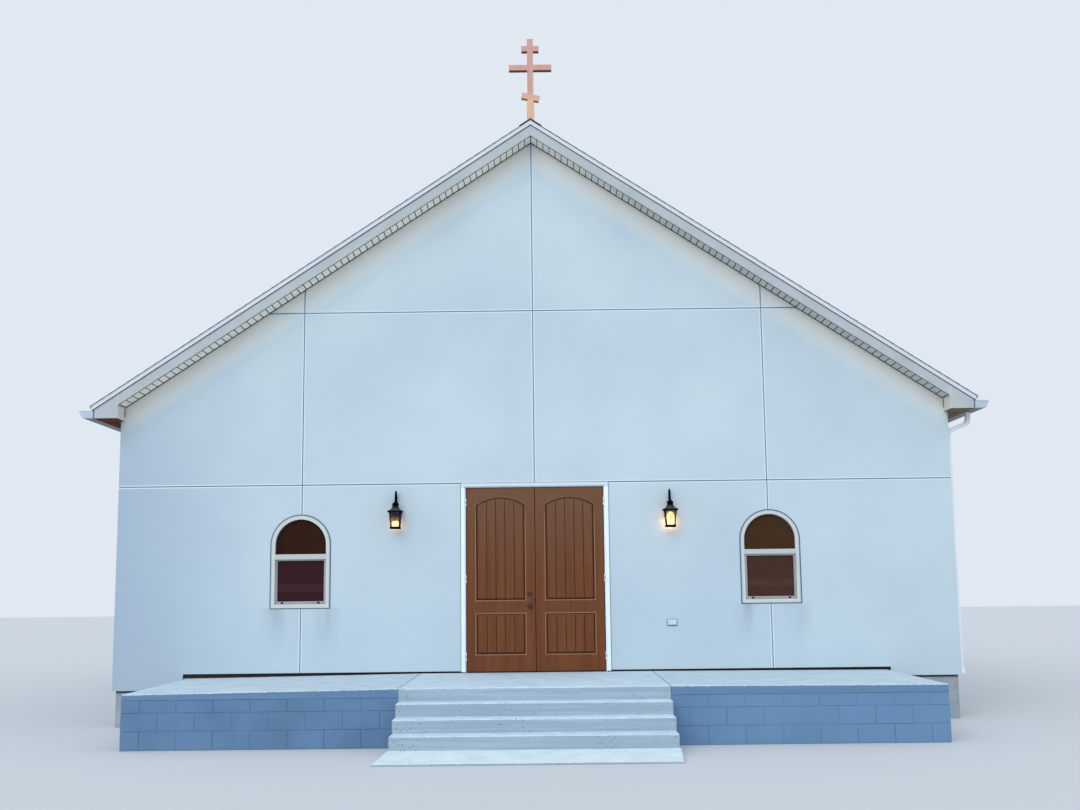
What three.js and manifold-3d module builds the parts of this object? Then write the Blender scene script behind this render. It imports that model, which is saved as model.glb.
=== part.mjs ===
// A small gabled church hall with a raised porch, a pair of doors that open outwards,
// arched windows, wall lanterns and a three-barred cross on the ridge.
// Millimetres, +Z up. The front faces -Y, and X is zero on the line where the doors meet.
import * as THREE from "three";
import { mergeVertices } from "three/addons/utils/BufferGeometryUtils.js";
import Module from "manifold-3d";

const wasm = await Module();
wasm.setup();

// Gap kept between pieces that touch
const seat = 0.3;

// Hall
const hallHalfWidth = 5575;
const hallLength = 15240;
const wallThickness = 200;
const floorLevel = 650;

// Joints in the wall coat, and the slot for sealant round frames
const lowJoint = 2495;
const highJoint = 4845;
const frontJointX = 3110;
const sideJointPlaces = [1 / 6, 1 / 3, 1 / 2, 2 / 3, 5 / 6];
const jointWidth = 14;
const jointDepth = 9;
const sealWidth = 8;
const sealDepth = 8;

// Foot of the walls: the coat of the walls hangs outside the foundation
const coatOverhang = 45;
const foundationDrop = 30;
const floorThickness = 29;
const frontCoatLift = 25;
const leftCoatDrop = 182;
const rightCoatDrop = 88;
const backCoatDrop = 135;
const skirtInnerEdge = 4650;

// Roof, in heights above the porch floor on the centre line
const roofSlope = 0.6615;
const soffitApex = 7224;
const fasciaApex = 7218;
const deckApex = 7416;
const shingleHeight = 23;
const ridgeCapHeight = 12;
const ridgeCapHalfWidth = 150;
const rakeOverhang = 330;
const shingleOverhang = 22;
const fasciaThickness = 25;
const eaveFace = 5840;
const eaveBottom = 3390;
const returnInnerEdge = 5523;
const shingleEaveEnd = 5883;

// Gutters and downspouts
const gutterBottom = 3388;
const gutterHeight = 105;
const gutterWall = 4;
const spoutDepth = 60;
const spoutWidth = 76;
const spoutSetback = 140;
const spoutOutlet = 45;
const spoutFoot = -80;
// Bends of a downspout. Head: in from the outlet and down from the gutter. Elbow: out from the line
// at the wall and down from the gutter. Shoe: out from that line and up from the foot.
const spoutHead = [[0, 0], [0, 125], [45, 172]];
const spoutElbow = [[45, 226], [0, 280]];
const spoutShoe = [[0, 95], [12, 45], [40, 0]];

// Porch and steps
const porchHalfWidth = 4620;
const porchDepth = 2580;
const porchSlabThickness = 100;
const leftPorchFall = 35;
const rightPorchFall = 15;
const stepHalfWidth = 1520;
const treadDepth = 306;
const riser = 142;
const treadCount = 3;
const apronDepth = 600;
const apronFrontHeight = 22;
const apronBackHalfWidth = 1530;
const apronFrontEdges = [-1615, 1500];
const apronTrimReach = 2000;

// Door frame and leaves
const leafThickness = 44;
const leafFace = 2;
const leafHeight = 2422;
const leafLift = 8;
const meetingGap = 8;
const leafOuterEdge = 917.5;
const jambInner = 922.5;
const frameOuter = 984;
const trimReveal = 12;
const trimProud = 20;
const headClearance = 6;
const stopClearance = 6;
const stopLap = 14;
const jambLift = 2;
const hingeHeights = [200, 1215, 2230];
const barrelRadius = 7.5;
const barrelStandOff = 0.5;
const barrelFacets = 12;
const leafBarrel = 40;
const frameBarrel = 30;
const hingeWeb = 6;
const webSink = 2;

// Sunk panels of a leaf, heights from the foot of the leaf
const panelHalfWidth = 328;
const panelDepth = 8;
const lowPanel = [232, 758];
const highPanel = [936, 2296];
const panelRise = 107;

// Knob and bolt on the left leaf
const lockX = -75;
const knobHeight = 863;
const boltHeight = 1020;
const lockBore = 27;
const lockFacets = 24;

// Windows
const windowX = 3120;
const windowBottom = 867;
const windowTop = 2093;
const windowHalfWidth = 393;
const windowFrameWidth = 55;
const windowFrameDepth = 50;
const windowProud = 12;
const meetingRail = [1508, 1576];
const lowLiteBottom = 919;
const sashRecess = 18;
const sashStile = 28;
const sashInner = [956, 1490];
const paneThickness = 6;
const paneLap = 30;
const sideWindowPlaces = [1 / 6, 1 / 2, 5 / 6];

// Lanterns, outlet box and cross
const lanternPlaces = { left: -1837, right: 1803 };
const lanternReach = 130;
const lanternBase = 1890;
const lanternTop = 2403;
const lanternSides = 6;
const lanternNeck = 345;
const plateHalfWidth = 50;
const plateThickness = 22;
const plateHeights = [1930, 2130];
const armRadius = 13;
const armSteps = 18;
const armSegments = 4;
const outletCentre = [1797, 626];
const outletSize = [130, 84, 30];
const crossSetback = 200;
const crossTop = 8819;
const crossBar = 84;
const crossFootWidth = 102;
const crossFootTop = 7870;
const crossBars = [
  { height: 8673, halfLength: 122, tilt: 0 },
  { height: 8392, halfLength: 300, tilt: 0 },
  { height: 7958, halfLength: 124, tilt: 12 },
];

const curveSegments = 16;

// How far a cutting shape reaches past the face that it cuts
const reach = 1;

// Worked out from the sizes above
const low = (height) => floorLevel + height;
const wallInner = hallHalfWidth - wallThickness;
const foundationHalfWidth = hallHalfWidth - coatOverhang;
const backInner = hallLength - wallThickness;
const roofFront = -rakeOverhang - shingleOverhang;
const roofBack = hallLength + rakeOverhang + shingleOverhang;
const stepsFront = -porchDepth - treadCount * treadDepth;
const apronFront = stepsFront - apronDepth;
const middleY = (apronFront + roofBack) / 2;
const sides = [
  { name: "left", sign: -1, coatDrop: leftCoatDrop, porchFall: leftPorchFall },
  { name: "right", sign: 1, coatDrop: rightCoatDrop, porchFall: rightPorchFall },
];

// The height of a sloping plane of the roof, from its height on the centre line
const slopeAt = (apex, x) => floorLevel + apex - roofSlope * Math.abs(x);

const colour = (hex, roughness, metalness = 0) =>
  new THREE.MeshStandardMaterial({ color: hex, roughness, metalness });
const finishes = {
  stucco: colour("#c3d3de", 0.85),
  masonry: colour("#b9c4cc", 0.9),
  porchPaint: colour("#6f93b8", 0.75),
  concrete: colour("#bccbd6", 0.85),
  darkWood: colour("#3a2d26", 0.9),
  shingle: colour("#3c3a39", 0.95),
  trimMetal: colour("#cfd5da", 0.5),
  soffit: colour("#c9cbc4", 0.6),
  whiteFrame: colour("#e8ecee", 0.45),
  door: colour("#74452f", 0.5),
  bronze: colour("#4a3527", 0.35, 0.9),
  glass: colour("#2a1a1c", 0.1),
  blackMetal: colour("#17181a", 0.5, 0.6),
  plastic: colour("#dfe3e6", 0.5),
  crossWood: colour("#b5877a", 0.7),
  floor: colour("#8d8a84", 0.8),
};

const church = new THREE.Group();

function add(name, geometry, finish) {
  const mesh = new THREE.Mesh(geometry, finishes[finish]);
  mesh.name = name;
  church.add(mesh);
}

// Joins and cuts closed geometries
function asSolid(geometry) {
  const bare = geometry.clone();
  bare.deleteAttribute("normal");
  bare.deleteAttribute("uv");
  const merged = mergeVertices(bare, 1e-3);
  return new wasm.Manifold(
    new wasm.Mesh({
      numProp: 3,
      vertProperties: merged.attributes.position.array,
      triVerts: new Uint32Array(merged.index.array),
    }),
  );
}

function asGeometry(solid) {
  const mesh = solid.getMesh();
  return new THREE.BufferGeometry()
    .setAttribute("position", new THREE.BufferAttribute(mesh.vertProperties, 3))
    .setIndex(new THREE.BufferAttribute(mesh.triVerts, 1));
}

function joined(first, ...others) {
  return asGeometry(others.reduce((sum, other) => sum.add(asSolid(other)), asSolid(first)));
}

function withCuts(body, ...tools) {
  return asGeometry(tools.reduce((rest, tool) => rest.subtract(asSolid(tool)), asSolid(body)));
}

// A box between two limits on each axis, in either order
function box(xs, ys, zs) {
  const [width, depth, height] = [xs, ys, zs].map(([a, b]) => Math.abs(b - a));
  const [x, y, z] = [xs, ys, zs].map(([a, b]) => (a + b) / 2);
  return new THREE.BoxGeometry(width, depth, height).translate(x, y, z);
}

const outline = (points) => new THREE.Shape(points.map(([u, v]) => new THREE.Vector2(u, v)));

function extruded(shape, depth) {
  return new THREE.ExtrudeGeometry(shape, { depth, bevelEnabled: false, curveSegments });
}

// A shape drawn in X and Z, solid from one Y to another
function alongY(shape, [y0, y1]) {
  return extruded(shape, y1 - y0).rotateX(Math.PI / 2).translate(0, y1, 0);
}

// A shape drawn in Y and Z, solid from one X to another
function alongX(shape, [x0, x1]) {
  const [xAxis, yAxis, zAxis] = [0, 1, 2].map((i) => new THREE.Vector3().setComponent(i, 1));
  const turn = new THREE.Matrix4().makeBasis(yAxis, zAxis, xAxis);
  return extruded(shape, x1 - x0).applyMatrix4(turn).translate(x0, 0, 0);
}

// A round-headed opening's outline
function roundHeaded(centre, halfWidth, bottom, top) {
  const spring = top - halfWidth;
  const shape = new THREE.Shape();
  shape.moveTo(centre - halfWidth, bottom);
  shape.lineTo(centre + halfWidth, bottom);
  shape.lineTo(centre + halfWidth, spring);
  shape.absarc(centre, spring, halfWidth, 0, Math.PI, false);
  return shape;
}

// A rectangle with a flat arch on top, rising by the given amount
function flatArched(centre, halfWidth, bottom, top, rise) {
  const radius = (halfWidth ** 2 + rise ** 2) / (2 * rise);
  const half = Math.asin(halfWidth / radius);
  const shape = new THREE.Shape();
  shape.moveTo(centre - halfWidth, bottom);
  shape.lineTo(centre + halfWidth, bottom);
  shape.lineTo(centre + halfWidth, top - rise);
  shape.absarc(centre, top - radius, radius, Math.PI / 2 - half, Math.PI / 2 + half, false);
  return shape;
}

const rectangle = ([u0, u1], [v0, v1]) => outline([[u0, v0], [u1, v0], [u1, v1], [u0, v1]]);

const around = (centre, width) => [centre - width / 2, centre + width / 2];

// The outline of a window's opening, and of the slot for sealant round it
const windowHole = (centre, extra = 0) =>
  roundHeaded(centre, windowHalfWidth + extra, low(windowBottom) - extra, low(windowTop) + extra);

// Foundation and floors
function addBase() {
  const top = low(-foundationDrop);
  const acrossFoundation = [-foundationHalfWidth, foundationHalfWidth];
  add("foundation", box(acrossFoundation, [coatOverhang, hallLength - coatOverhang], [0, top]), "masonry");
  const floorX = [seat - wallInner, wallInner - seat];
  const floorY = [wallThickness + seat, backInner - seat];
  add("floor_slab", box(floorX, floorY, [top + seat, top + seat + floorThickness]), "floor");
  for (const { name, sign } of sides) {
    const across = [sign * foundationHalfWidth, sign * (frameOuter + seat)];
    const rise = [top + seat, low(frontCoatLift) - seat];
    add(`front_sill_${name}`, box(across, [coatOverhang, wallThickness], rise), "darkWood");
  }
}

// Front walls beside the door, with their coat hanging lower beyond the ends of the porch
function addFrontWalls() {
  const foot = low(frontCoatLift);
  const jointY = [-reach, jointDepth];
  const sealY = [-reach, sealDepth];
  for (const { name, sign, coatDrop } of sides) {
    const doorEdge = frameOuter + seat;
    const across = [sign * hallHalfWidth, sign * doorEdge];
    const main = box(across, [0, wallThickness], [foot, low(lowJoint)]);
    const skirtX = [sign * hallHalfWidth, sign * skirtInnerEdge];
    const skirt = box(skirtX, [0, coatOverhang - seat], [low(-coatDrop), foot]);
    const cornerX = [sign * hallHalfWidth, sign * (foundationHalfWidth + seat)];
    const corner = box(cornerX, [0, wallThickness], [low(-coatDrop), foot]);
    const cutters = [
      alongY(windowHole(sign * windowX), [-wallThickness, 2 * wallThickness]),
      alongY(windowHole(sign * windowX, sealWidth), sealY),
      box([sign * doorEdge, sign * (doorEdge + sealWidth)], sealY, [0, low(lowJoint) + reach]),
      box(around(sign * frontJointX, jointWidth), jointY, [0, low(lowJoint) + reach]),
      box([-2 * hallHalfWidth, 2 * hallHalfWidth], jointY, around(low(lowJoint), jointWidth)),
    ];
    add(`front_wall_${name}`, withCuts(joined(main, skirt, corner), ...cutters), "stucco");
  }
}

// The joints of a gable wall, cut into the face that lies between the two given depths
function gableJoints(depth) {
  const across = [-2 * hallHalfWidth, 2 * hallHalfWidth];
  const height = [0, 2 * deckApex];
  return [
    ...[-frontJointX, 0, frontJointX].map((x) => box(around(x, jointWidth), depth, height)),
    ...[lowJoint, highJoint].map((z) => box(across, depth, around(low(z), jointWidth))),
  ];
}

// The outline of a gable, from a level foot up to a little under the roof deck
function gableShape(foot) {
  return outline([
    [-hallHalfWidth, foot],
    [hallHalfWidth, foot],
    [hallHalfWidth, slopeAt(deckApex, hallHalfWidth) - seat],
    [0, slopeAt(deckApex, 0) - seat],
    [-hallHalfWidth, slopeAt(deckApex, hallHalfWidth) - seat],
  ]);
}

function addGables() {
  const front = alongY(gableShape(low(lowJoint) + seat), [0, wallThickness]);
  add("front_gable_wall", withCuts(front, ...gableJoints([-reach, jointDepth])), "stucco");
  const coatFoot = low(-backCoatDrop);
  const inner = gableShape(low(-foundationDrop) + seat);
  const coatInner = hallLength - coatOverhang + seat;
  const corners = sides.map(({ sign }) => {
    const across = [sign * hallHalfWidth, sign * (foundationHalfWidth + seat)];
    return box(across, [backInner, hallLength], [coatFoot, low(0)]);
  });
  const coat = alongY(gableShape(coatFoot), [coatInner, hallLength]);
  const back = joined(alongY(inner, [backInner, coatInner]), coat, ...corners);
  const joints = gableJoints([hallLength - jointDepth, hallLength + reach]);
  add("back_wall", withCuts(back, ...joints), "stucco");
}

const sideWindowYs = sideWindowPlaces.map((share) => share * hallLength);
const sideJointYs = sideJointPlaces.map((share) => share * hallLength);
const ordered = (a, b) => [Math.min(a, b), Math.max(a, b)];

// Side walls, their tops cut to the roof's slope and their coat hanging outside the foundation
function addSideWalls() {
  for (const { name, sign, coatDrop } of sides) {
    const profile = outline([
      [sign * hallHalfWidth, low(-coatDrop)],
      [sign * (foundationHalfWidth + seat), low(-coatDrop)],
      [sign * (foundationHalfWidth + seat), low(-foundationDrop) + seat],
      [sign * wallInner, low(-foundationDrop) + seat],
      [sign * wallInner, slopeAt(soffitApex, wallInner) - seat],
      [sign * hallHalfWidth, slopeAt(soffitApex, hallHalfWidth) - seat],
    ]);
    const wall = alongY(profile, [wallThickness + seat, backInner - seat]);
    const outside = sign * (hallHalfWidth + reach);
    const through = ordered(outside, sign * (wallInner - reach));
    const joint = ordered(outside, sign * (hallHalfWidth - jointDepth));
    const seal = ordered(outside, sign * (hallHalfWidth - sealDepth));
    const cutters = [
      ...sideWindowYs.map((y) => alongX(windowHole(y), through)),
      ...sideWindowYs.map((y) => alongX(windowHole(y, sealWidth), seal)),
      ...sideJointYs.map((y) => box(joint, around(y, jointWidth), [0, low(deckApex)])),
      box(joint, [0, hallLength], around(low(lowJoint), jointWidth)),
    ];
    add(`${name}_wall`, withCuts(wall, ...cutters), "stucco");
  }
}

// Each roof slope is a thin deck with shingles over a deep part between the gables
function addRoof() {
  const ridgeGap = seat / 2;
  const band = (lowApex, highApex, end, sign) =>
    outline([
      [sign * ridgeGap, slopeAt(lowApex, ridgeGap)],
      [sign * end, slopeAt(lowApex, end)],
      [sign * end, slopeAt(highApex, end)],
      [sign * ridgeGap, slopeAt(highApex, ridgeGap)],
    ]);
  for (const { name, sign } of sides) {
    const deck = band(deckApex, deckApex + shingleHeight, shingleEaveEnd, sign);
    const rafters = band(soffitApex, deckApex + shingleHeight / 2, hallHalfWidth, sign);
    const inside = [wallThickness + seat, backInner - seat];
    const slope = joined(alongY(deck, [roofFront, roofBack]), alongY(rafters, inside));
    add(`roof_${name}`, slope, "shingle");
  }
  const capFoot = deckApex + shingleHeight + seat;
  const capPlanes = [capFoot, capFoot + ridgeCapHeight];
  const [under, over] = capPlanes.map((apex) =>
    [-ridgeCapHalfWidth, 0, ridgeCapHalfWidth].map((x) => [x, slopeAt(apex, x)]),
  );
  add("ridge_cap", alongY(outline([...under, ...over.reverse()]), [roofFront, roofBack]), "shingle");
}

// Fascia boards up the gable ends, and the boxed soffits behind them
function addRakes() {
  const topApex = deckApex - seat;
  const rakeEnd = hallLength + rakeOverhang;
  const ends = [
    { name: "front", board: [-rakeOverhang, fasciaThickness - rakeOverhang], wall: -seat },
    { name: "back", board: [rakeEnd - fasciaThickness, rakeEnd], wall: hallLength + seat },
  ];
  const end = returnInnerEdge - seat;
  for (const { name, board, wall } of ends) {
    for (const side of sides) {
      const shape = outline([
        [side.sign * seat, slopeAt(fasciaApex, seat)],
        [side.sign * end, slopeAt(fasciaApex, end)],
        [side.sign * end, slopeAt(topApex, end)],
        [side.sign * seat, slopeAt(topApex, seat)],
      ]);
      add(`${name}_fascia_${side.name}`, alongY(shape, board), "trimMetal");
    }
    const under = [-end, 0, end].map((x) => [x, slopeAt(soffitApex, x)]);
    const over = [end, 0, -end].map((x) => [x, slopeAt(topApex, x)]);
    const depth = name === "front" ? [board[1] + seat, wall] : [wall, board[0] - seat];
    add(`${name}_soffit`, alongY(outline([...under, ...over]), depth), "soffit");
  }
}

// Boxed eaves with their returns round the front and back corners
function addEaves() {
  const topAt = (x) => slopeAt(deckApex, x) - seat;
  const section = (inner, sign) =>
    outline([
      [sign * inner, low(eaveBottom)],
      [sign * eaveFace, low(eaveBottom)],
      [sign * eaveFace, topAt(eaveFace)],
      [sign * inner, topAt(inner)],
    ]);
  for (const { name, sign } of sides) {
    const middle = [-seat - reach, hallLength + seat + reach];
    const along = alongY(section(hallHalfWidth + seat, sign), middle);
    const front = alongY(section(returnInnerEdge, sign), [-rakeOverhang, -seat]);
    const back = alongY(section(returnInnerEdge, sign), [hallLength + seat, hallLength + rakeOverhang]);
    add(`${name}_eave_box`, joined(along, front, back), "trimMetal");
  }
}

// Open gutters with closed ends. The points run out from the eave face and up from the gutter's foot.
function addGutters() {
  const t = gutterWall;
  const above = gutterHeight + t;
  const belly = [[125, 0], [146, 11], [164, 35], [171, 64], [185, 80]];
  const outer = [[0, gutterHeight], [0, 0], ...belly, [185, gutterHeight]];
  const inside = [[124, t], [143, 14], [160, 37], [167, 66], [185 - t, 82]];
  const hollow = [[t, above], [t, t], ...inside, [185 - t, above]];
  const ends = [-rakeOverhang, hallLength + rakeOverhang];
  for (const { name, sign } of sides) {
    const place = ([out, up]) => [sign * (eaveFace + seat + out), low(gutterBottom) + up];
    const whole = alongY(outline(outer.map(place)), ends);
    const channel = alongY(outline(hollow.map(place)), [ends[0] + t, ends[1] - t]);
    add(`${name}_gutter`, withCuts(whole, channel), "trimMetal");
  }
}

// The outline of a strip of even width that follows a bent line
function bentStrip(points, width) {
  const line = points.map(([u, v]) => new THREE.Vector2(u, v));
  const directions = line.slice(1).map((p, i) => p.clone().sub(line[i]).normalize());
  const edge = (side) =>
    line.map((p, i) => {
      const before = directions[Math.max(i - 1, 0)];
      const after = directions[Math.min(i, directions.length - 1)];
      const mitre = before.clone().add(after).normalize();
      const normal = new THREE.Vector2(-mitre.y, mitre.x);
      return p.clone().addScaledVector(normal, (side * width) / 2 / mitre.dot(before));
    });
  return new THREE.Shape([...edge(1), ...edge(-1).reverse()]);
}

// The right downspout stands at the front corner, the left one at the back corner
function addDownspouts() {
  const wallLine = hallHalfWidth + seat + spoutDepth / 2;
  const outlet = eaveFace + spoutOutlet;
  const line = [
    ...spoutHead.map(([back, down]) => [outlet - back, gutterBottom - seat - down]),
    ...spoutElbow.map(([out, down]) => [wallLine + out, gutterBottom - down]),
    ...spoutShoe.map(([out, up]) => [wallLine + out, spoutFoot + up]),
  ];
  const places = { right: spoutSetback, left: hallLength - spoutSetback };
  for (const { name, sign } of sides) {
    const strip = bentStrip(line.map(([x, z]) => [sign * x, low(z)]), spoutDepth);
    add(`${name}_downspout`, alongY(strip, around(places[name], spoutWidth)), "trimMetal");
  }
}

// Porch: painted block bases with concrete slabs, falling a little to their outer ends
function addPorch() {
  const depth = [-porchDepth, coatOverhang - seat];
  const slabFoot = low(-porchSlabThickness);
  for (const { name, sign, porchFall } of sides) {
    const inner = sign * (stepHalfWidth + seat);
    const outer = sign * porchHalfWidth;
    add(`porch_base_${name}`, box([inner, outer], depth, [0, slabFoot - seat]), "porchPaint");
    const slab = outline([[inner, slabFoot], [outer, slabFoot], [outer, low(-porchFall)], [inner, low(0)]]);
    add(`porch_slab_${name}`, alongY(slab, depth), "concrete");
  }
  add("landing_slab", box([-stepHalfWidth, stepHalfWidth], depth, [0, low(0)]), "concrete");
}

function addSteps() {
  for (let i = 1; i <= treadCount; i += 1) {
    const back = -porchDepth - (i - 1) * treadDepth - seat;
    const front = -porchDepth - i * treadDepth;
    const tread = box([-stepHalfWidth, stepHalfWidth], [front, back], [0, low(-i * riser)]);
    add(`step_${i}`, tread, "concrete");
  }
  const back = stepsFront - seat;
  const apronTop = low(-(treadCount + 1) * riser);
  const side = outline([[apronFront, 0], [back, 0], [back, apronTop], [apronFront, apronFrontHeight]]);
  const wide = alongX(side, [reach - apronTrimReach, apronTrimReach - reach]);
  const trims = sides.map(({ sign }, i) => {
    const plan = outline([
      [sign * apronBackHalfWidth, stepsFront],
      [sign * apronTrimReach, stepsFront],
      [sign * apronTrimReach, apronFront],
      [apronFrontEdges[i], apronFront],
    ]);
    return extruded(plan, floorLevel);
  });
  add("step_apron", withCuts(wide, ...trims), "concrete");
}

// The hinge line of a leaf
const hingeX = (leafOuterEdge + jambInner) / 2;
const hingeY = leafFace - barrelRadius - barrelStandOff;

// One barrel of a hinge, with the web that ties it to the leaf or to the jamb
function barrel(sign, towards, [z0, z1]) {
  const round = new THREE.CylinderGeometry(barrelRadius, barrelRadius, z1 - z0, barrelFacets);
  round.rotateX(Math.PI / 2).translate(sign * hingeX, hingeY, (z0 + z1) / 2);
  const webEnd = sign * (hingeX + towards * hingeWeb);
  return joined(round, box([sign * hingeX, webEnd], [hingeY, leafFace + webSink], [z0, z1]));
}

// A frame of two posts and a head round the doorway
function doorSurround(inner, outer, foot, under, top) {
  return outline([
    [-outer, foot],
    [-inner, foot],
    [-inner, under],
    [inner, under],
    [inner, foot],
    [outer, foot],
    [outer, top],
    [-outer, top],
  ]);
}

function addDoorFrame() {
  const top = low(lowJoint) - seat;
  const foot = low(jambLift);
  const head = low(leafLift + leafHeight + headClearance);
  const stopFront = leafFace + leafThickness + stopClearance;
  const trim = doorSurround(jambInner + trimReveal, frameOuter, foot, head + trimReveal, top);
  const jamb = doorSurround(jambInner, frameOuter, foot, head, top);
  const stop = doorSurround(jambInner - stopLap, frameOuter, foot, head - stopLap, top);
  const barrels = sides.flatMap(({ sign }) =>
    hingeHeights.flatMap((height) => {
      const middle = low(leafLift + height);
      const near = leafBarrel / 2 + seat;
      const far = near + frameBarrel;
      const spans = [[middle + near, middle + far], [middle - far, middle - near]];
      return spans.map((span) => barrel(sign, 1, span));
    }),
  );
  const frame = joined(
    alongY(trim, [-trimProud, leafFace]),
    alongY(jamb, [leafFace, stopFront]),
    alongY(stop, [stopFront, wallThickness]),
    ...barrels,
  );
  add("door_frame", frame, "whiteFrame");
  const sill = [low(-foundationDrop) + seat, low(jambLift) - seat];
  add("door_threshold", box([-frameOuter, frameOuter], [coatOverhang, wallThickness], sill), "bronze");
}

function addLeaves() {
  const foot = low(leafLift);
  const back = leafFace + leafThickness;
  const sunkBands = [
    [leafFace - reach, leafFace + panelDepth],
    [back - panelDepth, back + reach],
  ];
  const [highFoot, highTop] = highPanel.map((height) => foot + height);
  for (const { name, sign } of sides) {
    const meeting = (sign * meetingGap) / 2;
    const outer = sign * leafOuterEdge;
    const centre = (meeting + outer) / 2;
    const board = box([meeting, outer], [leafFace, back], [foot, foot + leafHeight]);
    const highShape = flatArched(centre, panelHalfWidth, highFoot, highTop, panelRise);
    const lowShape = rectangle(
      around(centre, 2 * panelHalfWidth),
      lowPanel.map((height) => foot + height),
    );
    const panels = sunkBands.flatMap((band) => [alongY(highShape, band), alongY(lowShape, band)]);
    const bores = sign < 0 ? [knobHeight, boltHeight].map((height) => lockBoreAt(low(height))) : [];
    const barrels = hingeHeights.map((height) => {
      const middle = foot + height;
      return barrel(sign, -1, [middle - leafBarrel / 2, middle + leafBarrel / 2]);
    });
    const solid = joined(withCuts(board, ...panels, ...bores), ...barrels);
    add(`door_leaf_${name}`, solid, "door");
  }
}

function lockBoreAt(z) {
  const round = new THREE.CylinderGeometry(lockBore, lockBore, 4 * leafThickness, lockFacets);
  return round.translate(lockX, leafFace, z);
}

// A turned piece that passes through the bore, drawn as radius against distance from the leaf's faces
function addLock(name, z, outside) {
  const back = leafFace + leafThickness;
  const spindle = lockBore - seat;
  const front = outside.map(([radius, out]) => [radius, leafFace - seat - out]);
  const rear = outside.map(([radius, out]) => [radius, back + seat + out]).reverse();
  const profile = [...front, [spindle, leafFace - seat], [spindle, back + seat], ...rear];
  const points = profile.map(([radius, y]) => new THREE.Vector2(radius, y));
  add(name, new THREE.LatheGeometry(points, lockFacets).translate(lockX, 0, z), "bronze");
}

function addLocks() {
  const knob = [[0, 62], [18, 61], [27, 50], [27, 42], [16, 32], [13, 22], [15, 9], [32, 7], [34, 0]];
  addLock("door_knob", low(knobHeight), knob);
  const bolt = [[0, 17], [20, 17], [24, 13], [29, 10], [32, 0]];
  addLock("door_deadbolt", low(boltHeight), bolt);
}

// The white frame of a window, with the upper light and the opening for the sash cut through it
function windowFrameShape(centre) {
  const outer = windowHalfWidth - seat;
  const inner = windowHalfWidth - windowFrameWidth;
  const shape = roundHeaded(centre, outer, low(windowBottom) + seat, low(windowTop) - seat);
  const [railFoot, railTop] = meetingRail.map(low);
  shape.holes.push(roundHeaded(centre, inner, railTop, low(windowTop) - windowFrameWidth));
  shape.holes.push(rectangle(around(centre, 2 * inner), [low(lowLiteBottom), railFoot]));
  return shape;
}

function sashShape(centre, gap) {
  const outer = windowHalfWidth - windowFrameWidth - gap;
  const up = [low(lowLiteBottom) + gap, low(meetingRail[0]) - gap];
  const shape = rectangle(around(centre, 2 * outer), up);
  const inner = outer - sashStile;
  shape.holes.push(rectangle(around(centre, 2 * inner), sashInner.map(low)));
  return shape;
}

function paneShape(centre) {
  const half = windowHalfWidth - paneLap;
  return roundHeaded(centre, half, low(windowBottom) + paneLap, low(windowTop) - paneLap);
}

function addFrontWindows() {
  for (const { name, sign } of sides) {
    const centre = sign * windowX;
    const frame = alongY(windowFrameShape(centre), [-windowProud, windowFrameDepth]);
    const sash = alongY(sashShape(centre, seat), [sashRecess, windowFrameDepth]);
    const paneFront = windowFrameDepth + seat;
    const pane = alongY(paneShape(centre), [paneFront, paneFront + paneThickness]);
    add(`front_window_${name}_frame`, frame, "whiteFrame");
    add(`front_window_${name}_sash`, sash, "whiteFrame");
    add(`front_window_${name}_glass`, pane, "glass");
  }
}

// On each side wall a sheet of glass behind the wall closes all the windows
function addSideWindows() {
  const places = ["front", "middle", "back"];
  for (const { name, sign } of sides) {
    const face = sign * (hallHalfWidth + windowProud);
    const back = sign * (hallHalfWidth - windowFrameDepth);
    const sashFace = sign * (hallHalfWidth - sashRecess);
    sideWindowYs.forEach((y, i) => {
      const frame = alongX(windowFrameShape(y), ordered(face, back));
      const sash = alongX(sashShape(y, -reach), ordered(sashFace, back));
      add(`${name}_window_${places[i]}`, joined(frame, sash), "whiteFrame");
    });
    const glassFace = sign * (wallInner - seat);
    const past = windowHalfWidth + paneLap;
    const along = [sideWindowYs[0] - past, sideWindowYs.at(-1) + past];
    const up = [low(windowBottom) - paneLap, low(windowTop) + paneLap];
    const sheet = box([glassFace, glassFace - sign * paneThickness], along, up);
    add(`${name}_window_glass`, sheet, "glass");
  }
}

// A six-sided lantern hung from a curved arm on a wall plate
function addLanterns() {
  const profile = [
    [0, 0], [66, 0], [66, 20], [60, 22], [84, 218], [105, 222], [105, 234], [70, 262],
    [34, 296], [32, 306], [38, 314], [30, 326], [14, 336], [14, 352], [0, 352],
  ];
  const turned = profile.map(([radius, height]) => new THREE.Vector2(radius, height));
  // The arm rises from the plate, bends over and comes down to the neck: distances from the wall and heights
  const bend = [
    [16, 2110], [17, 2230], [28, 2322], [70, lanternTop - armRadius], [118, 2336],
    [lanternReach, 2276], [lanternReach, lanternBase + lanternNeck],
  ];
  const ring = new THREE.Shape().absarc(0, 0, armRadius, 0, 2 * Math.PI, false);
  for (const [name, x] of Object.entries(lanternPlaces)) {
    const body = new THREE.LatheGeometry(turned, lanternSides, Math.PI / lanternSides);
    body.rotateX(Math.PI / 2).translate(x, -lanternReach, low(lanternBase));
    const plateX = around(x, 2 * plateHalfWidth);
    const plate = box(plateX, [-plateThickness, -seat], plateHeights.map(low));
    const extrudePath = new THREE.CatmullRomCurve3(
      bend.map(([out, height]) => new THREE.Vector3(x, -out, low(height))),
    );
    const options = { steps: armSteps, bevelEnabled: false, curveSegments: armSegments, extrudePath };
    const arm = new THREE.ExtrudeGeometry(ring, options);
    add(`lantern_${name}`, joined(body, plate, arm), "blackMetal");
  }
}

function addOutletBox() {
  const [x, z] = outletCentre;
  const [width, height, depth] = outletSize;
  add("outlet_box", box(around(x, width), [-depth, -seat], around(low(z), height)), "plastic");
}

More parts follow.
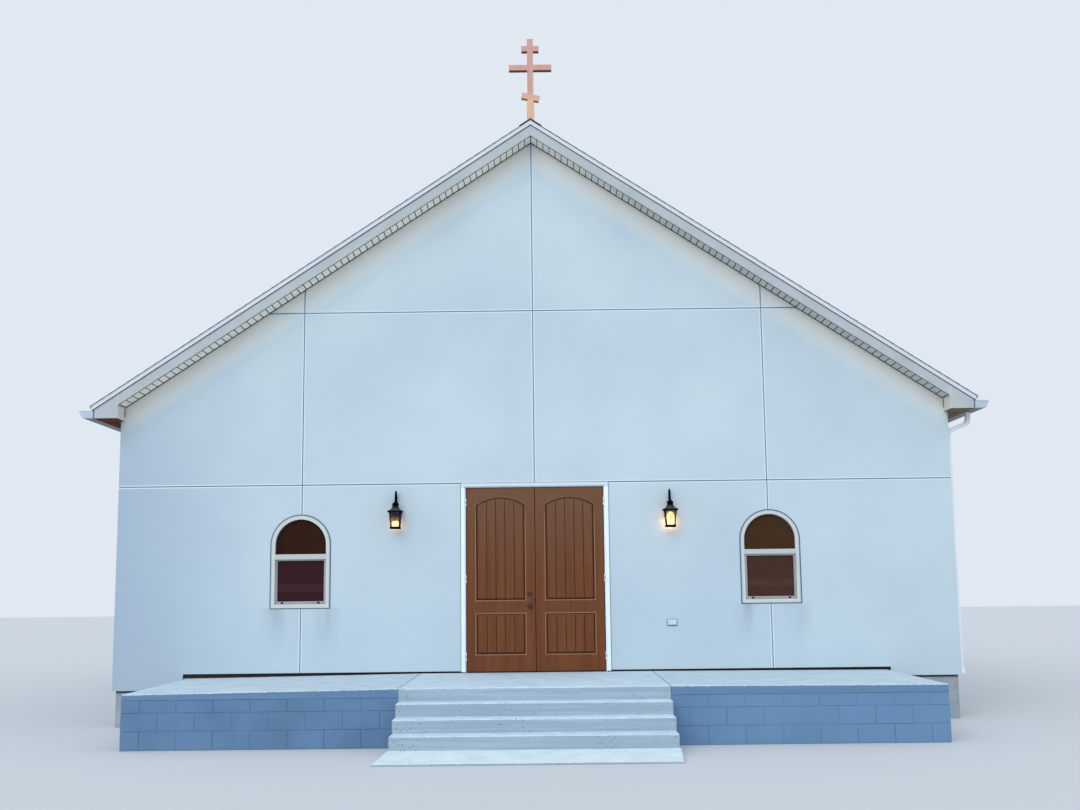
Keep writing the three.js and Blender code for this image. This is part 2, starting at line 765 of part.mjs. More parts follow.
// The cross stands astride the ridge, on a thicker foot
function addCross() {
  const ridgeTop = deckApex + shingleHeight + seat + ridgeCapHeight + seat;
  const half = crossFootWidth / 2;
  const foot = outline([
    [0, slopeAt(ridgeTop, 0)],
    [half, slopeAt(ridgeTop, half)],
    [half, low(crossFootTop)],
    [-half, low(crossFootTop)],
    [-half, slopeAt(ridgeTop, half)],
  ]);
  const thick = around(0, crossBar);
  const post = box(thick, around(crossSetback, crossBar), [low(crossFootTop) - half, low(crossTop)]);
  const bars = crossBars.map(({ height, halfLength, tilt }) => {
    const bar = box([-halfLength, halfLength], thick, thick);
    return bar.rotateY(THREE.MathUtils.degToRad(tilt)).translate(0, crossSetback, low(height));
  });
  const thickFoot = alongY(foot, around(crossSetback, crossFootWidth));
  add("roof_cross", joined(thickFoot, post, ...bars), "crossWood");
}

addBase();
addFrontWalls();
addGables();
addSideWalls();
addRoof();
addRakes();
addEaves();
addGutters();
addDownspouts();
addPorch();
addSteps();
addDoorFrame();
addLeaves();
addLocks();
addFrontWindows();
addSideWindows();
addLanterns();
addOutletBox();
addCross();

// The origin lies under the middle of the whole building
church.position.y = -middleY;

export default church;
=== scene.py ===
"""A small gabled church hall: its finishes, small parts, camera and light.

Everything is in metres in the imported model's own frame. The front faces -Y, the ridge runs
along Y, and X is zero on the line where the two doors meet.
"""

import logging
import math
import operator
import random
from collections.abc import Callable, Iterable, Sequence
from dataclasses import dataclass
from enum import Enum
from functools import partial, reduce

import bmesh
import bpy
from mathutils import Matrix, Vector


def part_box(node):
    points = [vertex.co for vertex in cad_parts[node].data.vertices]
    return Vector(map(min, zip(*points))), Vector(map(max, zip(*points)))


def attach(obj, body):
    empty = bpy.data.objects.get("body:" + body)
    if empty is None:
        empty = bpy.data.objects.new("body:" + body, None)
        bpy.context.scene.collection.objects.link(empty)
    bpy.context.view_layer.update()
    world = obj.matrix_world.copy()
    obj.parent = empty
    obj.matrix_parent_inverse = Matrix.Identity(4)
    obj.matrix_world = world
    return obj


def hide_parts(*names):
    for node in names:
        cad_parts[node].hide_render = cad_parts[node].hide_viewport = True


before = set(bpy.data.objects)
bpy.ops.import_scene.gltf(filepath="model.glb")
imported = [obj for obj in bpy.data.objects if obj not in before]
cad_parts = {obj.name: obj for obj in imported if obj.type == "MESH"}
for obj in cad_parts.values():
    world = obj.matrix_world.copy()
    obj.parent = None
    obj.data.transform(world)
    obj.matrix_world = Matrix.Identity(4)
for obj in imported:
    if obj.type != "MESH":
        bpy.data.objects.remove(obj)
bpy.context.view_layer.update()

log = logging.getLogger("church")

SIDES = (("left", -1), ("right", 1))
ENDS = (-1, 1)
CORNERS = ((-1, -1), (1, -1), (1, 1), (-1, 1))

# Faces of the hall
WALL_FRONT = -5.747
WALL_BACK = 9.493
WALL_HALF = 5.575
WALL_INNER = 5.375
COAT_GROOVE = 0.0075
FLOOR = 0.65

# The roof falls this far for each metre away from the ridge. An apex is a plane's height there.
ROOF_FALL = 0.6615
ROOF_ENDS = (-6.099, 9.845)
FASCIA_ENDS = (-6.077, 9.823)
SHINGLE_APEX = 8.089
DECK_APEX = 8.066
SOFFIT_APEX = 7.874
EAVE_FACE = 5.84
EAVE_FOOT = 4.04

WINDOW_X = 3.12
WINDOW_HALF = 0.393
WINDOW_FOOT = 1.517
WINDOW_SPRING = 2.35

# Faces of the two door leaves, and how far their panels' floors and their planks' grooves are sunk
LEAF_FRONT = -5.745
LEAF_BACK = -5.701
LEAF_OUTER = 0.9175
LEAF_FOOT = 0.658
LEAF_TOP = 3.08
PANEL_SUNK = 0.008
PLANK_SUNK = 0.0045
LEAF_SUNK = (PANEL_SUNK, PLANK_SUNK)
# Each face, and which way is into the leaf there
LEAF_FACES = ((LEAF_FRONT, 1), (LEAF_BACK, -1))

# Vertices nearer than this are one
WELD = 1e-5

Point = Sequence[float]
Profile = Sequence[tuple[float, float]]
Socket = bpy.types.NodeSocket
Colour = tuple[float, float, float, float]


def linear(code: str) -> Colour:
    """Turn an sRGB hex colour into linear light."""
    parts = [int(code[i : i + 2], 16) / 255 for i in (1, 3, 5)]
    red, green, blue = [c / 12.92 if c <= 0.04045 else ((c + 0.055) / 1.055) ** 2.4 for c in parts]
    return red, green, blue, 1.0


class Measure(Enum):
    """What a mask may go by."""

    X = "distance to the right of the line where the doors meet"
    Y = "distance behind the frame's middle"
    Z = "height"
    ACROSS = "distance to either side of the line where the doors meet"
    BESIDE = "level distance from the middle of a front window"
    REACH = "distance from the middle line of a round-headed window"
    FALL = "height at the ridge of a roof plane through the place"
    AHEAD = "how squarely the surface faces the back"
    UP = "how squarely the surface faces up"


X, Y, Z, ACROSS, BESIDE, REACH, FALL, AHEAD, UP = Measure


class Paint:
    """A material in the making: its nodes, and the coats laid so far."""

    def __init__(self, name: str, colour: str, stretch: Point) -> None:
        """Start a material and take its measures.

        Args:
            name: The material's name.
            colour: The colour of its first coat.
            stretch: How much finer its pattern is along each axis.
        """
        self.made = bpy.data.materials.new(name)
        self.made.use_nodes = True
        self.made.node_tree.nodes.clear()
        self.coat: Socket | Colour = linear(colour)
        centre = self.node("TexCoord").outputs["Object"]
        self.place = self.node("Mapping", {0: centre, 3: stretch}).outputs[0]
        x, y, z = self.node("SeparateXYZ", {0: centre}).outputs
        normal = self.node("NewGeometry").outputs["Normal"]
        _, ahead, up = self.node("SeparateXYZ", {0: normal}).outputs
        across = self.maths("ABSOLUTE", x)
        beside = self.maths("ABSOLUTE", self.maths("SUBTRACT", across, WINDOW_X))
        above = self.maths("MAXIMUM", self.maths("SUBTRACT", z, WINDOW_SPRING), 0.0)
        offset = self.node("CombineXYZ", {0: beside, 1: above}).outputs[0]
        reach = self.node("VectorMath", {0: offset}, operation="LENGTH").outputs["Value"]
        fall = self.maths("MULTIPLY_ADD", across, ROOF_FALL, z)
        self.measures = dict(zip(Measure, (x, y, z, across, beside, reach, fall, ahead, up)))

    def node(self, kind: str, inputs: dict | None = None, **settings: object) -> bpy.types.Node:
        """Add a shader node with its settings and its links.

        Args:
            kind: The node's type, without the word ShaderNode.
            inputs: A value or another node's output for each input, by name or number.
            settings: The node's own options.

        Returns:
            The new node.
        """
        made = self.made.node_tree.nodes.new("ShaderNode" + kind)
        for key, value in settings.items():
            setattr(made, key, value)
        for key, value in (inputs or {}).items():
            if isinstance(value, Socket):
                self.made.node_tree.links.new(value, made.inputs[key])
            else:
                made.inputs[key].default_value = value
        return made

    def maths(self, operation: str, *values: object) -> Socket:
        """Work out one sum."""
        return self.node("Math", dict(enumerate(values)), operation=operation).outputs[0]

    def ramp(self, value: Socket, low: float, high: float, first: float, last: float) -> Socket:
        """Go from a first to a last number while a value goes from low to high."""
        return self.node("MapRange", {0: value, 1: low, 2: high, 3: first, 4: last}).outputs[0]

    def noise(self, scale: float, detail: float, stretch: Point = (1.0, 1.0, 1.0)) -> Socket:
        """Give a cloudy pattern, with so many clouds to a metre and so many finer layers."""
        place = self.node("Mapping", {0: self.place, 3: stretch}).outputs[0]
        return self.node("TexNoise", {"Vector": place, "Scale": scale, "Detail": detail}).outputs[0]

    def over(self, colour: "str | Socket", where: "Mask | Socket") -> None:
        """Lay a colour over the coat.

        Args:
            colour: The colour, as an sRGB hex value or a node's output.
            where: Its share at each place, as a mask or a node's output.
        """
        top = linear(colour) if isinstance(colour, str) else colour
        share = where.made(self) if isinstance(where, Mask) else where
        self.coat = self.node("Mix", {0: share, 6: self.coat, 7: top}, data_type="RGBA").outputs[2]


class Mask:
    """A share of a surface, from 0 to 1 at each place."""

    def __init__(self, made: Callable[[Paint], Socket]) -> None:
        """Keep what makes the mask's nodes."""
        self.made = made

    def __and__(self, other: "Mask") -> "Mask":
        """Multiply two masks, so that both must hold."""
        return Mask(lambda paint: paint.maths("MULTIPLY", self.made(paint), other.made(paint)))

    def __or__(self, other: "Mask") -> "Mask":
        """Take the higher of two masks."""
        return Mask(lambda paint: paint.maths("MAXIMUM", self.made(paint), other.made(paint)))


def near(measure: Measure, middle: float, reach: float) -> Mask:
    """Cover the places where a measure lies no further than a reach from its middle."""
    return Mask(lambda paint: paint.maths("COMPARE", paint.measures[measure], middle, reach))


def within(measure: Measure, low: float, high: float) -> Mask:
    """Cover the places where a measure lies between two limits."""
    return near(measure, (low + high) / 2, (high - low) / 2)


def any_of(*masks: Mask) -> Mask:
    """Take the highest of several masks."""
    return reduce(operator.or_, masks)


def ramp(measure: Measure, *limits: float) -> Mask:
    """Go from one share to another with a measure, as Paint.ramp does."""
    return Mask(lambda paint: paint.ramp(paint.measures[measure], *limits))


def clouds(pattern: Sequence, *limits: float) -> Mask:
    """Go from one share to another with a cloudy pattern, as Paint.ramp does."""
    return Mask(lambda paint: paint.ramp(paint.noise(*pattern), *limits))


@dataclass(frozen=True)
class Finish:
    """A surface's material: what it is made of, and how that was finished.

    Attributes:
        name: The material's name.
        colour: Its main colour, as an sRGB hex value.
        second: The colour that it wanders towards.
        roughness: The shader's roughness.
        relief: How far the surface's grains stand out, in millimetres.
        patch: How wide a patch of the second colour is, in millimetres.
        grit: How wide the grains are, in millimetres.
        stretch: How much finer the pattern is along each axis.
        marks: Colours that lie over the two, each with its mask.
        shine: Other sockets of the shader, each with its number or colour.
    """

    name: str
    colour: str
    second: str
    roughness: float
    relief: float = 0.2
    patch: float = 400.0
    grit: float = 8.0
    stretch: Point = (1.0, 1.0, 1.0)
    marks: tuple[tuple[str, Mask], ...] = ()
    shine: tuple[tuple[str, object], ...] = ()

    def wander(self, paint: Paint) -> None:
        """Wander from the main colour to the second."""
        paint.over(self.second, clouds((1000 / self.patch, 5.0), 0.35, 0.68, 0.0, 1.0))

    def material(self) -> bpy.types.Material:
        """Make the material, or find it if it is made already.

        Returns:
            The material.
        """
        found = bpy.data.materials.get(self.name)
        if found:
            return found
        paint = Paint(self.name, self.colour, self.stretch)
        self.wander(paint)
        for colour, mask in self.marks:
            paint.over(colour, mask)
        grains = paint.noise(1000 / self.grit, 3.0)
        bump = {"Height": grains, "Distance": self.relief / 1000, "Strength": 1.0}
        sockets = {
            "Base Color": paint.coat,
            "Roughness": self.roughness,
            "Normal": paint.node("Bump", bump).outputs[0],
            **dict(self.shine),
        }
        shader = paint.node("BsdfPrincipled", sockets)
        paint.node("OutputMaterial", {"Surface": shader.outputs[0]})
        return paint.made


@dataclass(frozen=True)
class SlabConcrete(Finish):
    """Trowelled concrete with small pits, whose upright faces have a colour of their own.

    Attributes:
        sides: The colour of the upright faces; the default darker grey is painted shade.
        streak: The colour of the level streaks that the trowel left on them.
        pits: The colour in the pits.
    """

    # Darker than the tops: painted shade on the risers of the steps and the apron's edge
    sides: str = "#98abb9"
    streak: str = "#b0c5d2"
    pits: str = "#56646e"

    def wander(self, paint: Paint) -> None:
        """Lay the sides' colours and the pits over the trowelled top.

        Args:
            paint: The material.
        """
        super().wander(paint)
        top = paint.coat
        paint.coat = linear(self.sides)
        paint.over(self.streak, clouds((1.0, 4.0, (0.9, 0.9, 30.0)), 0.45, 0.7, 0.0, 0.6))
        side, paint.coat = paint.coat, top
        edge = paint.maths("ADD", paint.measures[UP], paint.noise(30.0, 3.0))
        paint.over(side, paint.ramp(edge, 0.8, 1.15, 1.0, 0.0))
        # Pits of 4 to 10 mm that lie in clusters, drawn about twice as coarse as they are
        cells = paint.node("TexVoronoi", {"Vector": paint.place, "Scale": 26.0}).outputs[0]
        pitted = Mask(lambda paint: paint.ramp(cells, 0.12, 0.24, 0.9, 0.0))
        paint.over(self.pits, pitted & clouds((2.4, 3.0), 0.5, 0.62, 0.12, 1.0))


@dataclass(frozen=True)
class ShingleGrit(Finish):
    """Asphalt shingles: mineral granules, and a tone of its own for each tab."""

    def wander(self, paint: Paint) -> None:
        """Mix each tab's tone with its granules.

        Args:
            paint: The material.
        """
        tab = paint.node("Attribute", attribute_name="tone").outputs["Fac"]
        # Granules are 1.5 mm across, and are drawn at 7 mm to show at all
        speck = paint.ramp(paint.noise(140.0, 2.0), 0.35, 0.65, -0.25, 0.25)
        paint.over(self.second, paint.maths("ADD", tab, speck))


COAT_FACE = within(Y, WALL_FRONT - 0.01, WALL_FRONT + COAT_GROOVE * 2)
COAT_JOINTS = ((X, -3.11), (X, 0.0), (X, 3.11), (Z, 3.145), (Z, 5.495))
SILL_END = WINDOW_HALF - 0.06
SILL_STREAKS = (
    ramp(BESIDE, SILL_END - 0.2, SILL_END - 0.03, 0.12, 1.0)
    & ramp(BESIDE, SILL_END + 0.03, SILL_END + 0.2, 1.0, 0.12)
    & within(BESIDE, -1.0, WINDOW_HALF + 0.14)
    & ramp(Z, WINDOW_FOOT - 0.62, WINDOW_FOOT, 0.0, 0.75)
    & within(Z, -1.0, WINDOW_FOOT)
    & clouds((1.0, 3.0, (7.0, 1.0, 2.2)), 0.3, 0.7, 0.0, 1.0)
)
JOINT_FLOORS = any_of(
    within(Y, WALL_FRONT + 0.0015, WALL_FRONT + 0.017) & within(ACROSS, -1.0, WALL_HALF - 0.001),
    within(Y, WALL_BACK - 0.017, WALL_BACK - 0.0015) & within(ACROSS, -1.0, WALL_HALF - 0.001),
    within(ACROSS, WALL_HALF - 0.0148, WALL_HALF - 0.0012)
    & within(Y, WALL_FRONT + 0.007, WALL_BACK - 0.007),
)
STUCCO_MARKS = (
    # Darker low down, and painted shade along the left corner
    ("#a5b8c8", ramp(Z, 0.6, 3.6, 0.2, 0.0)),
    ("#a5b8c8", ramp(X, -WALL_HALF, -3.6, 1.0, 0.0) & ramp(Z, 3.0, 4.4, 1.0, 0.4)),
    # Painted light just under the eaves, against the shade of the soffit
    (
        "#fff6e6",
        within(ACROSS, -1.0, WALL_HALF - 0.02)
        & ramp(FALL, SOFFIT_APEX - 0.42, SOFFIT_APEX - 0.02, 0.0, 0.68),
    ),
    # The tooled edges beside a joint, and rain stains that run down from the window sills
    ("#d3e2ec", COAT_FACE & any_of(*[near(axis, at, 0.022) for axis, at in COAT_JOINTS])),
    ("#98a9b4", COAT_FACE & SILL_STREAKS),
    ("#7f929e", JOINT_FLOORS),
    # The sealant round the front windows
    ("#5f7482", COAT_FACE & within(REACH, 0.0, WINDOW_HALF + 0.011) & within(Z, WINDOW_FOOT - 0.011, 3.5)),
    # The plain paint inside the hall
    (
        "#d9d6cd",
        within(ACROSS, -1.0, WALL_INNER + 0.001) & within(Y, WALL_FRONT + 0.199, WALL_BACK - 0.199),
    ),
)
SHINGLE_MARKS = (
    # The metal edge that laps the ends of the deck, and the ceiling under the roof
    ("#dfe4ee", any_of(*[near(Y, end, 0.001) for end in ROOF_ENDS]) & within(FALL, 0.0, DECK_APEX + 0.009)),
    (
        "#dcd9d0",
        within(FALL, 0.0, SOFFIT_APEX + 0.005) & within(Y, WALL_FRONT + 0.15, WALL_BACK - 0.15),
    ),
)
DOOR_BEADS = any_of(
    within(Y, LEAF_FRONT - 0.01, LEAF_FRONT - 0.0006), within(Y, LEAF_BACK + 0.0006, LEAF_BACK + 0.01)
)
# Painted shade: the panels' sunk floors and grooves, and the leaf's outer, top and foot edges
DOOR_SHADE = any_of(
    *[near(Y, face + inward * sunk, 0.0005) for face, inward in LEAF_FACES for sunk in LEAF_SUNK],
    within(ACROSS, LEAF_OUTER - 0.006, LEAF_OUTER + 0.001),
    within(Z, LEAF_TOP - 0.006, LEAF_TOP + 0.001),
    within(Z, LEAF_FOOT - 0.001, LEAF_FOOT + 0.011),
)
DOOR_MARKS = (
    # Greyer near the top: painted reflection of the sky
    ("#705039", ramp(Z, 1.9, 3.0, 0.0, 0.75)),
    # Pores 1 mm wide, drawn at 5 mm
    ("#5c3218", clouds((190.0, 3.0), 0.5, 0.75, 0.0, 0.55)),
    # Painted highlight on moulded faces that look up, and on the beads below the arch
    ("#a87a5e", ramp(UP, 0.15, 0.55, 0.0, 0.6) | (DOOR_BEADS & ramp(Z, 2.6, 2.85, 0.55, 0.1))),
    # Painted shade in the grooves and on the panels' floors, and along the leaf's edges
    ("#2c120a", DOOR_SHADE),
    # The painted hinge barrels
    (
        "#b9c6ce",
        within(ACROSS, LEAF_OUTER - 0.01, LEAF_OUTER + 1.0)
        & within(Y, LEAF_FRONT - 0.1, LEAF_FRONT - 0.0004),
    ),
)
# The rail between the two lights of a window, and a grey-blue band round the frame's outer edge
VINYL_MARKS = (
    ("#bdc1bf", within(Z, 2.16, 2.26) & within(REACH, 0.0, WINDOW_HALF - 0.05)),
    (
        "#93abb9",
        near(Y, WALL_FRONT, 0.1) & within(REACH, WINDOW_HALF - 0.013, WINDOW_HALF + 0.1),
    ),
)
# The lower light, the rail behind it, and the daylight behind the curtain of the right window
PANE_MARKS = (
    ("#35171c", within(Z, -1.0, 2.19)),
    ("#3d2227", within(Z, 1.73, 1.83)),
    ("#8b6c3e", ramp(X, -1.0, 1.0, 0.0, 0.12)),
)
# Painted shade on faces that look down: under the cross's bars and under the gutters
SHADED_UNDERSIDES = ramp(UP, -0.75, -0.35, 1.0, 0.0)
CROSS_MARKS = (("#8a5548", SHADED_UNDERSIDES), ("#dfb796", ramp(Z, 8.54, 8.74, 1.0, 0.0)))
GUTTER_UNDERSIDE_SHADE = (("#4a4652", SHADED_UNDERSIDES),)
# The head of the door's casing is shaded, and the ends of the boxed eaves get the soffit's light
CASING_MARKS = (("#d0dce1", within(Z, LEAF_TOP + 0.002, LEAF_TOP + 1.0)),)
TRIM_MARKS = (("#dcd8cb", within(ACROSS, 5.52, 5.5262)),)
# The slope that faces away from the light
SOFFIT_MARKS = (("#b0b3b0", ramp(X, -0.4, 1.6, 0.0, 0.8)),)
# Painted sheen of the sky on the front of the lanterns' roofs
LANTERN_ROOF_SHEEN = ramp(UP, 0.3, 0.6, 0.0, 0.75) & ramp(AHEAD, -0.3, -0.1, 1.0, 0.0) & within(Z, 2.7, 2.85)
# Painted light of the bulb on the lower part of the lantern glass
BULB_LIGHT_ON_GLASS = ramp(Z, 2.61, 2.71, 1.0, 0.0)

MATT = (("Specular IOR Level", 0.05),)
# Soda-lime glass, whose reflections an insect screen inside dulls
SCREENED = (("IOR", 1.52), ("Specular IOR Level", 0.1))
LAMP_GLASS = (("IOR", 1.45), ("Alpha", 0.4))
LAMP_GLOW = (("Emission Color", linear("#ffdf9e")), ("Emission Strength", 3.2))


class Finishes(Enum):
    """Every finish on the building."""

    STUCCO = Finish(
        "sand float stucco", "#c4d5dc", "#bbccd5", 0.9, 0.5, 1500.0, 9.0, marks=STUCCO_MARKS
    )
    BLOCK = Finish("bare concrete block", "#a3adb5", "#8d989f", 0.9, 0.9, 260.0, 7.0)
    PORCH_PAINT = Finish("blue masonry paint", "#668aae", "#5c80a5", 0.7, 1.6, 900.0, 9.0)
    # The left side of the porch has the same blue paint, drawn darker as painted shade
    SHADED_PORCH_PAINT = Finish("blue masonry paint in painted shade", "#6083a6", "#557698", 0.7, 1.6, 500.0, 9.0)
    PORCH_SLAB = SlabConcrete(
        "edge painted concrete", "#c8dbe5", "#bacdda", 0.8, 0.5, 300.0, sides="#5f81a3", streak="#698cad"
    )
    # The steps and the apron keep the darker default sides, painted shade on their upright faces
    STEP = SlabConcrete("trowelled concrete", "#d0e3ef", "#bed2e0", 0.85, 0.7, 180.0)
    APRON = SlabConcrete("worn concrete", "#dcecf1", "#cfe0e7", 0.85, 0.7, 240.0)
    # Real dark joints, and dark strips of painted shade under the coat's foot and round the rake trim
    DARK_JOINT_AND_SHADE = Finish("dark sealant and painted shade", "#434a50", "#373d43", 0.8)
    HALL_FLOOR = Finish("sealed concrete", "#8f8b84", "#7d7a74", 0.45, 0.1, 700.0)
    SILL = Finish("tarred timber", "#3b2118", "#24150f", 0.85, 0.6, 60.0, 12.0)
    SHINGLE = ShingleGrit(
        "asphalt shingle", "#292d2f", "#4c5254", 0.95, 1.2, grit=7.0, marks=SHINGLE_MARKS
    )
    TRIM = Finish("painted aluminium trim", "#b4bcbe", "#abb3b6", 0.5, 0.05, marks=TRIM_MARKS)
    DRIP = Finish("white drip edge", "#d6dbdf", "#cdd3d8", 0.45, 0.05)
    GUTTER = Finish("enamelled gutter", "#b0c3d0", "#a4b7c5", 0.4, 0.06, 300.0, marks=GUTTER_UNDERSIDE_SHADE)
    GUTTER_CAP = Finish("enamelled end cap", "#b4c4d1", "#a8b8c6", 0.4, 0.06, 90.0, marks=GUTTER_UNDERSIDE_SHADE)
    SPOUT = Finish("white downspout enamel", "#f3f7fb", "#e8eef5", 0.4, 0.06, 300.0)
    SOFFIT = Finish("vinyl soffit", "#fdf7e9", "#f3eddf", 0.6, 0.1, 500.0, marks=SOFFIT_MARKS)
    SOFFIT_GROOVE = Finish("shaded vinyl groove", "#303433", "#282b2a", 0.7, 0.1)
    # One coil stock lines both eaves; its two tones are painted light, darker on the left, paler on the
    # right
    SHADED_LINING = Finish("lining coil stock in painted shade", "#6b3524", "#5a2a1b", 0.8, 0.1, shine=MATT)
    LIT_LINING = Finish("lining coil stock in painted light", "#7d6a52", "#6f5d47", 0.7, 0.1, shine=MATT)
    CASING = Finish("white gloss casing", "#eefafc", "#e5f1f4", 0.35, 0.08, 300.0, marks=CASING_MARKS)
    VINYL = Finish("white window vinyl", "#d0d1cf", "#c8cac8", 0.35, 0.06, 200.0, marks=VINYL_MARKS)
    # The sash is white vinyl like the frame, painted grey as the shade of its recess
    SHADED_SASH = Finish("white sash vinyl in painted shade", "#9ea2a3", "#94989a", 0.4, 0.06, 200.0)
    # The grain runs upright, and the stain is nearly matt
    DOOR = Finish(
        "stained door skin", "#74411f", "#653518", 0.55, 0.35, 70.0, 6.0, (1.0, 1.0, 0.045), DOOR_MARKS,
        (("Specular IOR Level", 0.25),),
    )
    BRONZE = Finish("oil rubbed bronze", "#5c3324", "#3a1b12", 0.5, 0.1, 12.0, shine=(("Metallic", 0.3),))
    PANE = Finish(
        "curtained window glass", "#32170b", "#271009", 0.05, 0.02, 500.0, marks=PANE_MARKS,
        shine=SCREENED,
    )
    BLACK = Finish(
        "black powder coat", "#050406", "#030204", 0.6, grit=3.0, marks=(("#475151", LANTERN_ROOF_SHEEN),), shine=MATT
    )
    SOOTY_GLASS = Finish(
        "sooty lantern glass", "#33222a", "#251a20", 0.2, 0.3, grit=30.0,
        marks=(("#e0b070", BULB_LIGHT_ON_GLASS),), shine=LAMP_GLASS,
    )
    WARM_GLASS = Finish(
        "warm lantern glass", "#a07c45", "#8a6838", 0.2, 0.3, grit=30.0,
        marks=(("#f0cf86", BULB_LIGHT_ON_GLASS),), shine=LAMP_GLASS,
    )
    BULB = Finish("frosted bulb", "#fff2c8", "#ffe9b0", 0.4, 0.01, shine=LAMP_GLOW)
    SLEEVE = Finish("ivory candle sleeve", "#e6dcc2", "#dccfae", 0.5, 0.1, 20.0)
    PLASTIC = Finish("pale outdoor plastic", "#cfe0ea", "#c2d4df", 0.4, 0.1, 60.0)
    CROSS = Finish(
        "copper stained timber", "#d3a094", "#c8968a", 0.6, 0.5, 90.0, 10.0, (1.0, 1.0, 0.12), CROSS_MARKS
    )


def bent_frames(points: Sequence[Vector], side: Vector) -> list[Matrix]:
    """Frames along a bent line.

    Args:
        points: The line's points.
        side: A direction square to the whole line, which is each frame's X.

    Returns:
        A frame for each point, whose Z runs along the line.
    """
    frames = []
    for i, point in enumerate(points):
        ahead = (points[min(i + 1, len(points) - 1)] - points[max(i - 1, 0)]).normalized()
        turned = Matrix((side, ahead.cross(side).normalized(), ahead)).transposed().to_4x4()
        turned.translation = point
        frames.append(turned)
    return frames


def eased(corners: Sequence[Vector], radius: float, steps: int = 5) -> list[Vector]:
    """Round the corners of a bent line.

    Args:
        corners: The line's corners.
        radius: How far from a corner its curve begins.
        steps: The number of parts of each curve.

    Returns:
        The points of the eased line.
    """
    line = [corners[0]]
    for before, corner, after in zip(corners, corners[1:], corners[2:]):
        start = corner + (before - corner).normalized() * min(radius, (before - corner).length / 2.1)
        end = corner + (after - corner).normalized() * min(radius, (after - corner).length / 2.1)
        for i in range(steps + 1):
            t = i / steps
            line.append(start * (1 - t) ** 2 + corner * 2 * t * (1 - t) + end * t**2)
    return [*line, corners[-1]]


def slope_frame(sign: int, apex: float, tilt: float = 0.0) -> Matrix:
    """Axes on a plane of the roof: X down the slope, Y along the ridge, Z outwards.

    Args:
        sign: Which way the slope falls along X.
        apex: The plane's height at the ridge.
        tilt: How much flatter than the roof the axes lie.

    Returns:
        The frame. On the left slope it is mirrored.
    """
    lean = math.atan(ROOF_FALL)
    down = Vector((sign * math.cos(lean), 0, -math.sin(lean)))
    out = Vector((sign * math.sin(lean), 0, math.cos(lean)))
    axes = ((down + out * tilt).normalized(), Vector((0, 1, 0)), (out - down * tilt).normalized())
    made = Matrix(axes).transposed().to_4x4()
    made.translation = (0, 0, apex)
    return made


def ring(radius: float, steps: int) -> list[tuple[float, float]]:
    """The section of a round bar."""
    angles = [math.tau * i / steps for i in range(steps)]
    return [(radius * math.cos(angle), radius * math.sin(angle)) for angle in angles]


def placed(name: str, data: bpy.types.ID) -> bpy.types.Object:
    """Put data into the scene as an object."""
    made = bpy.data.objects.new(name, data)
    bpy.context.scene.collection.objects.link(made)
    return made


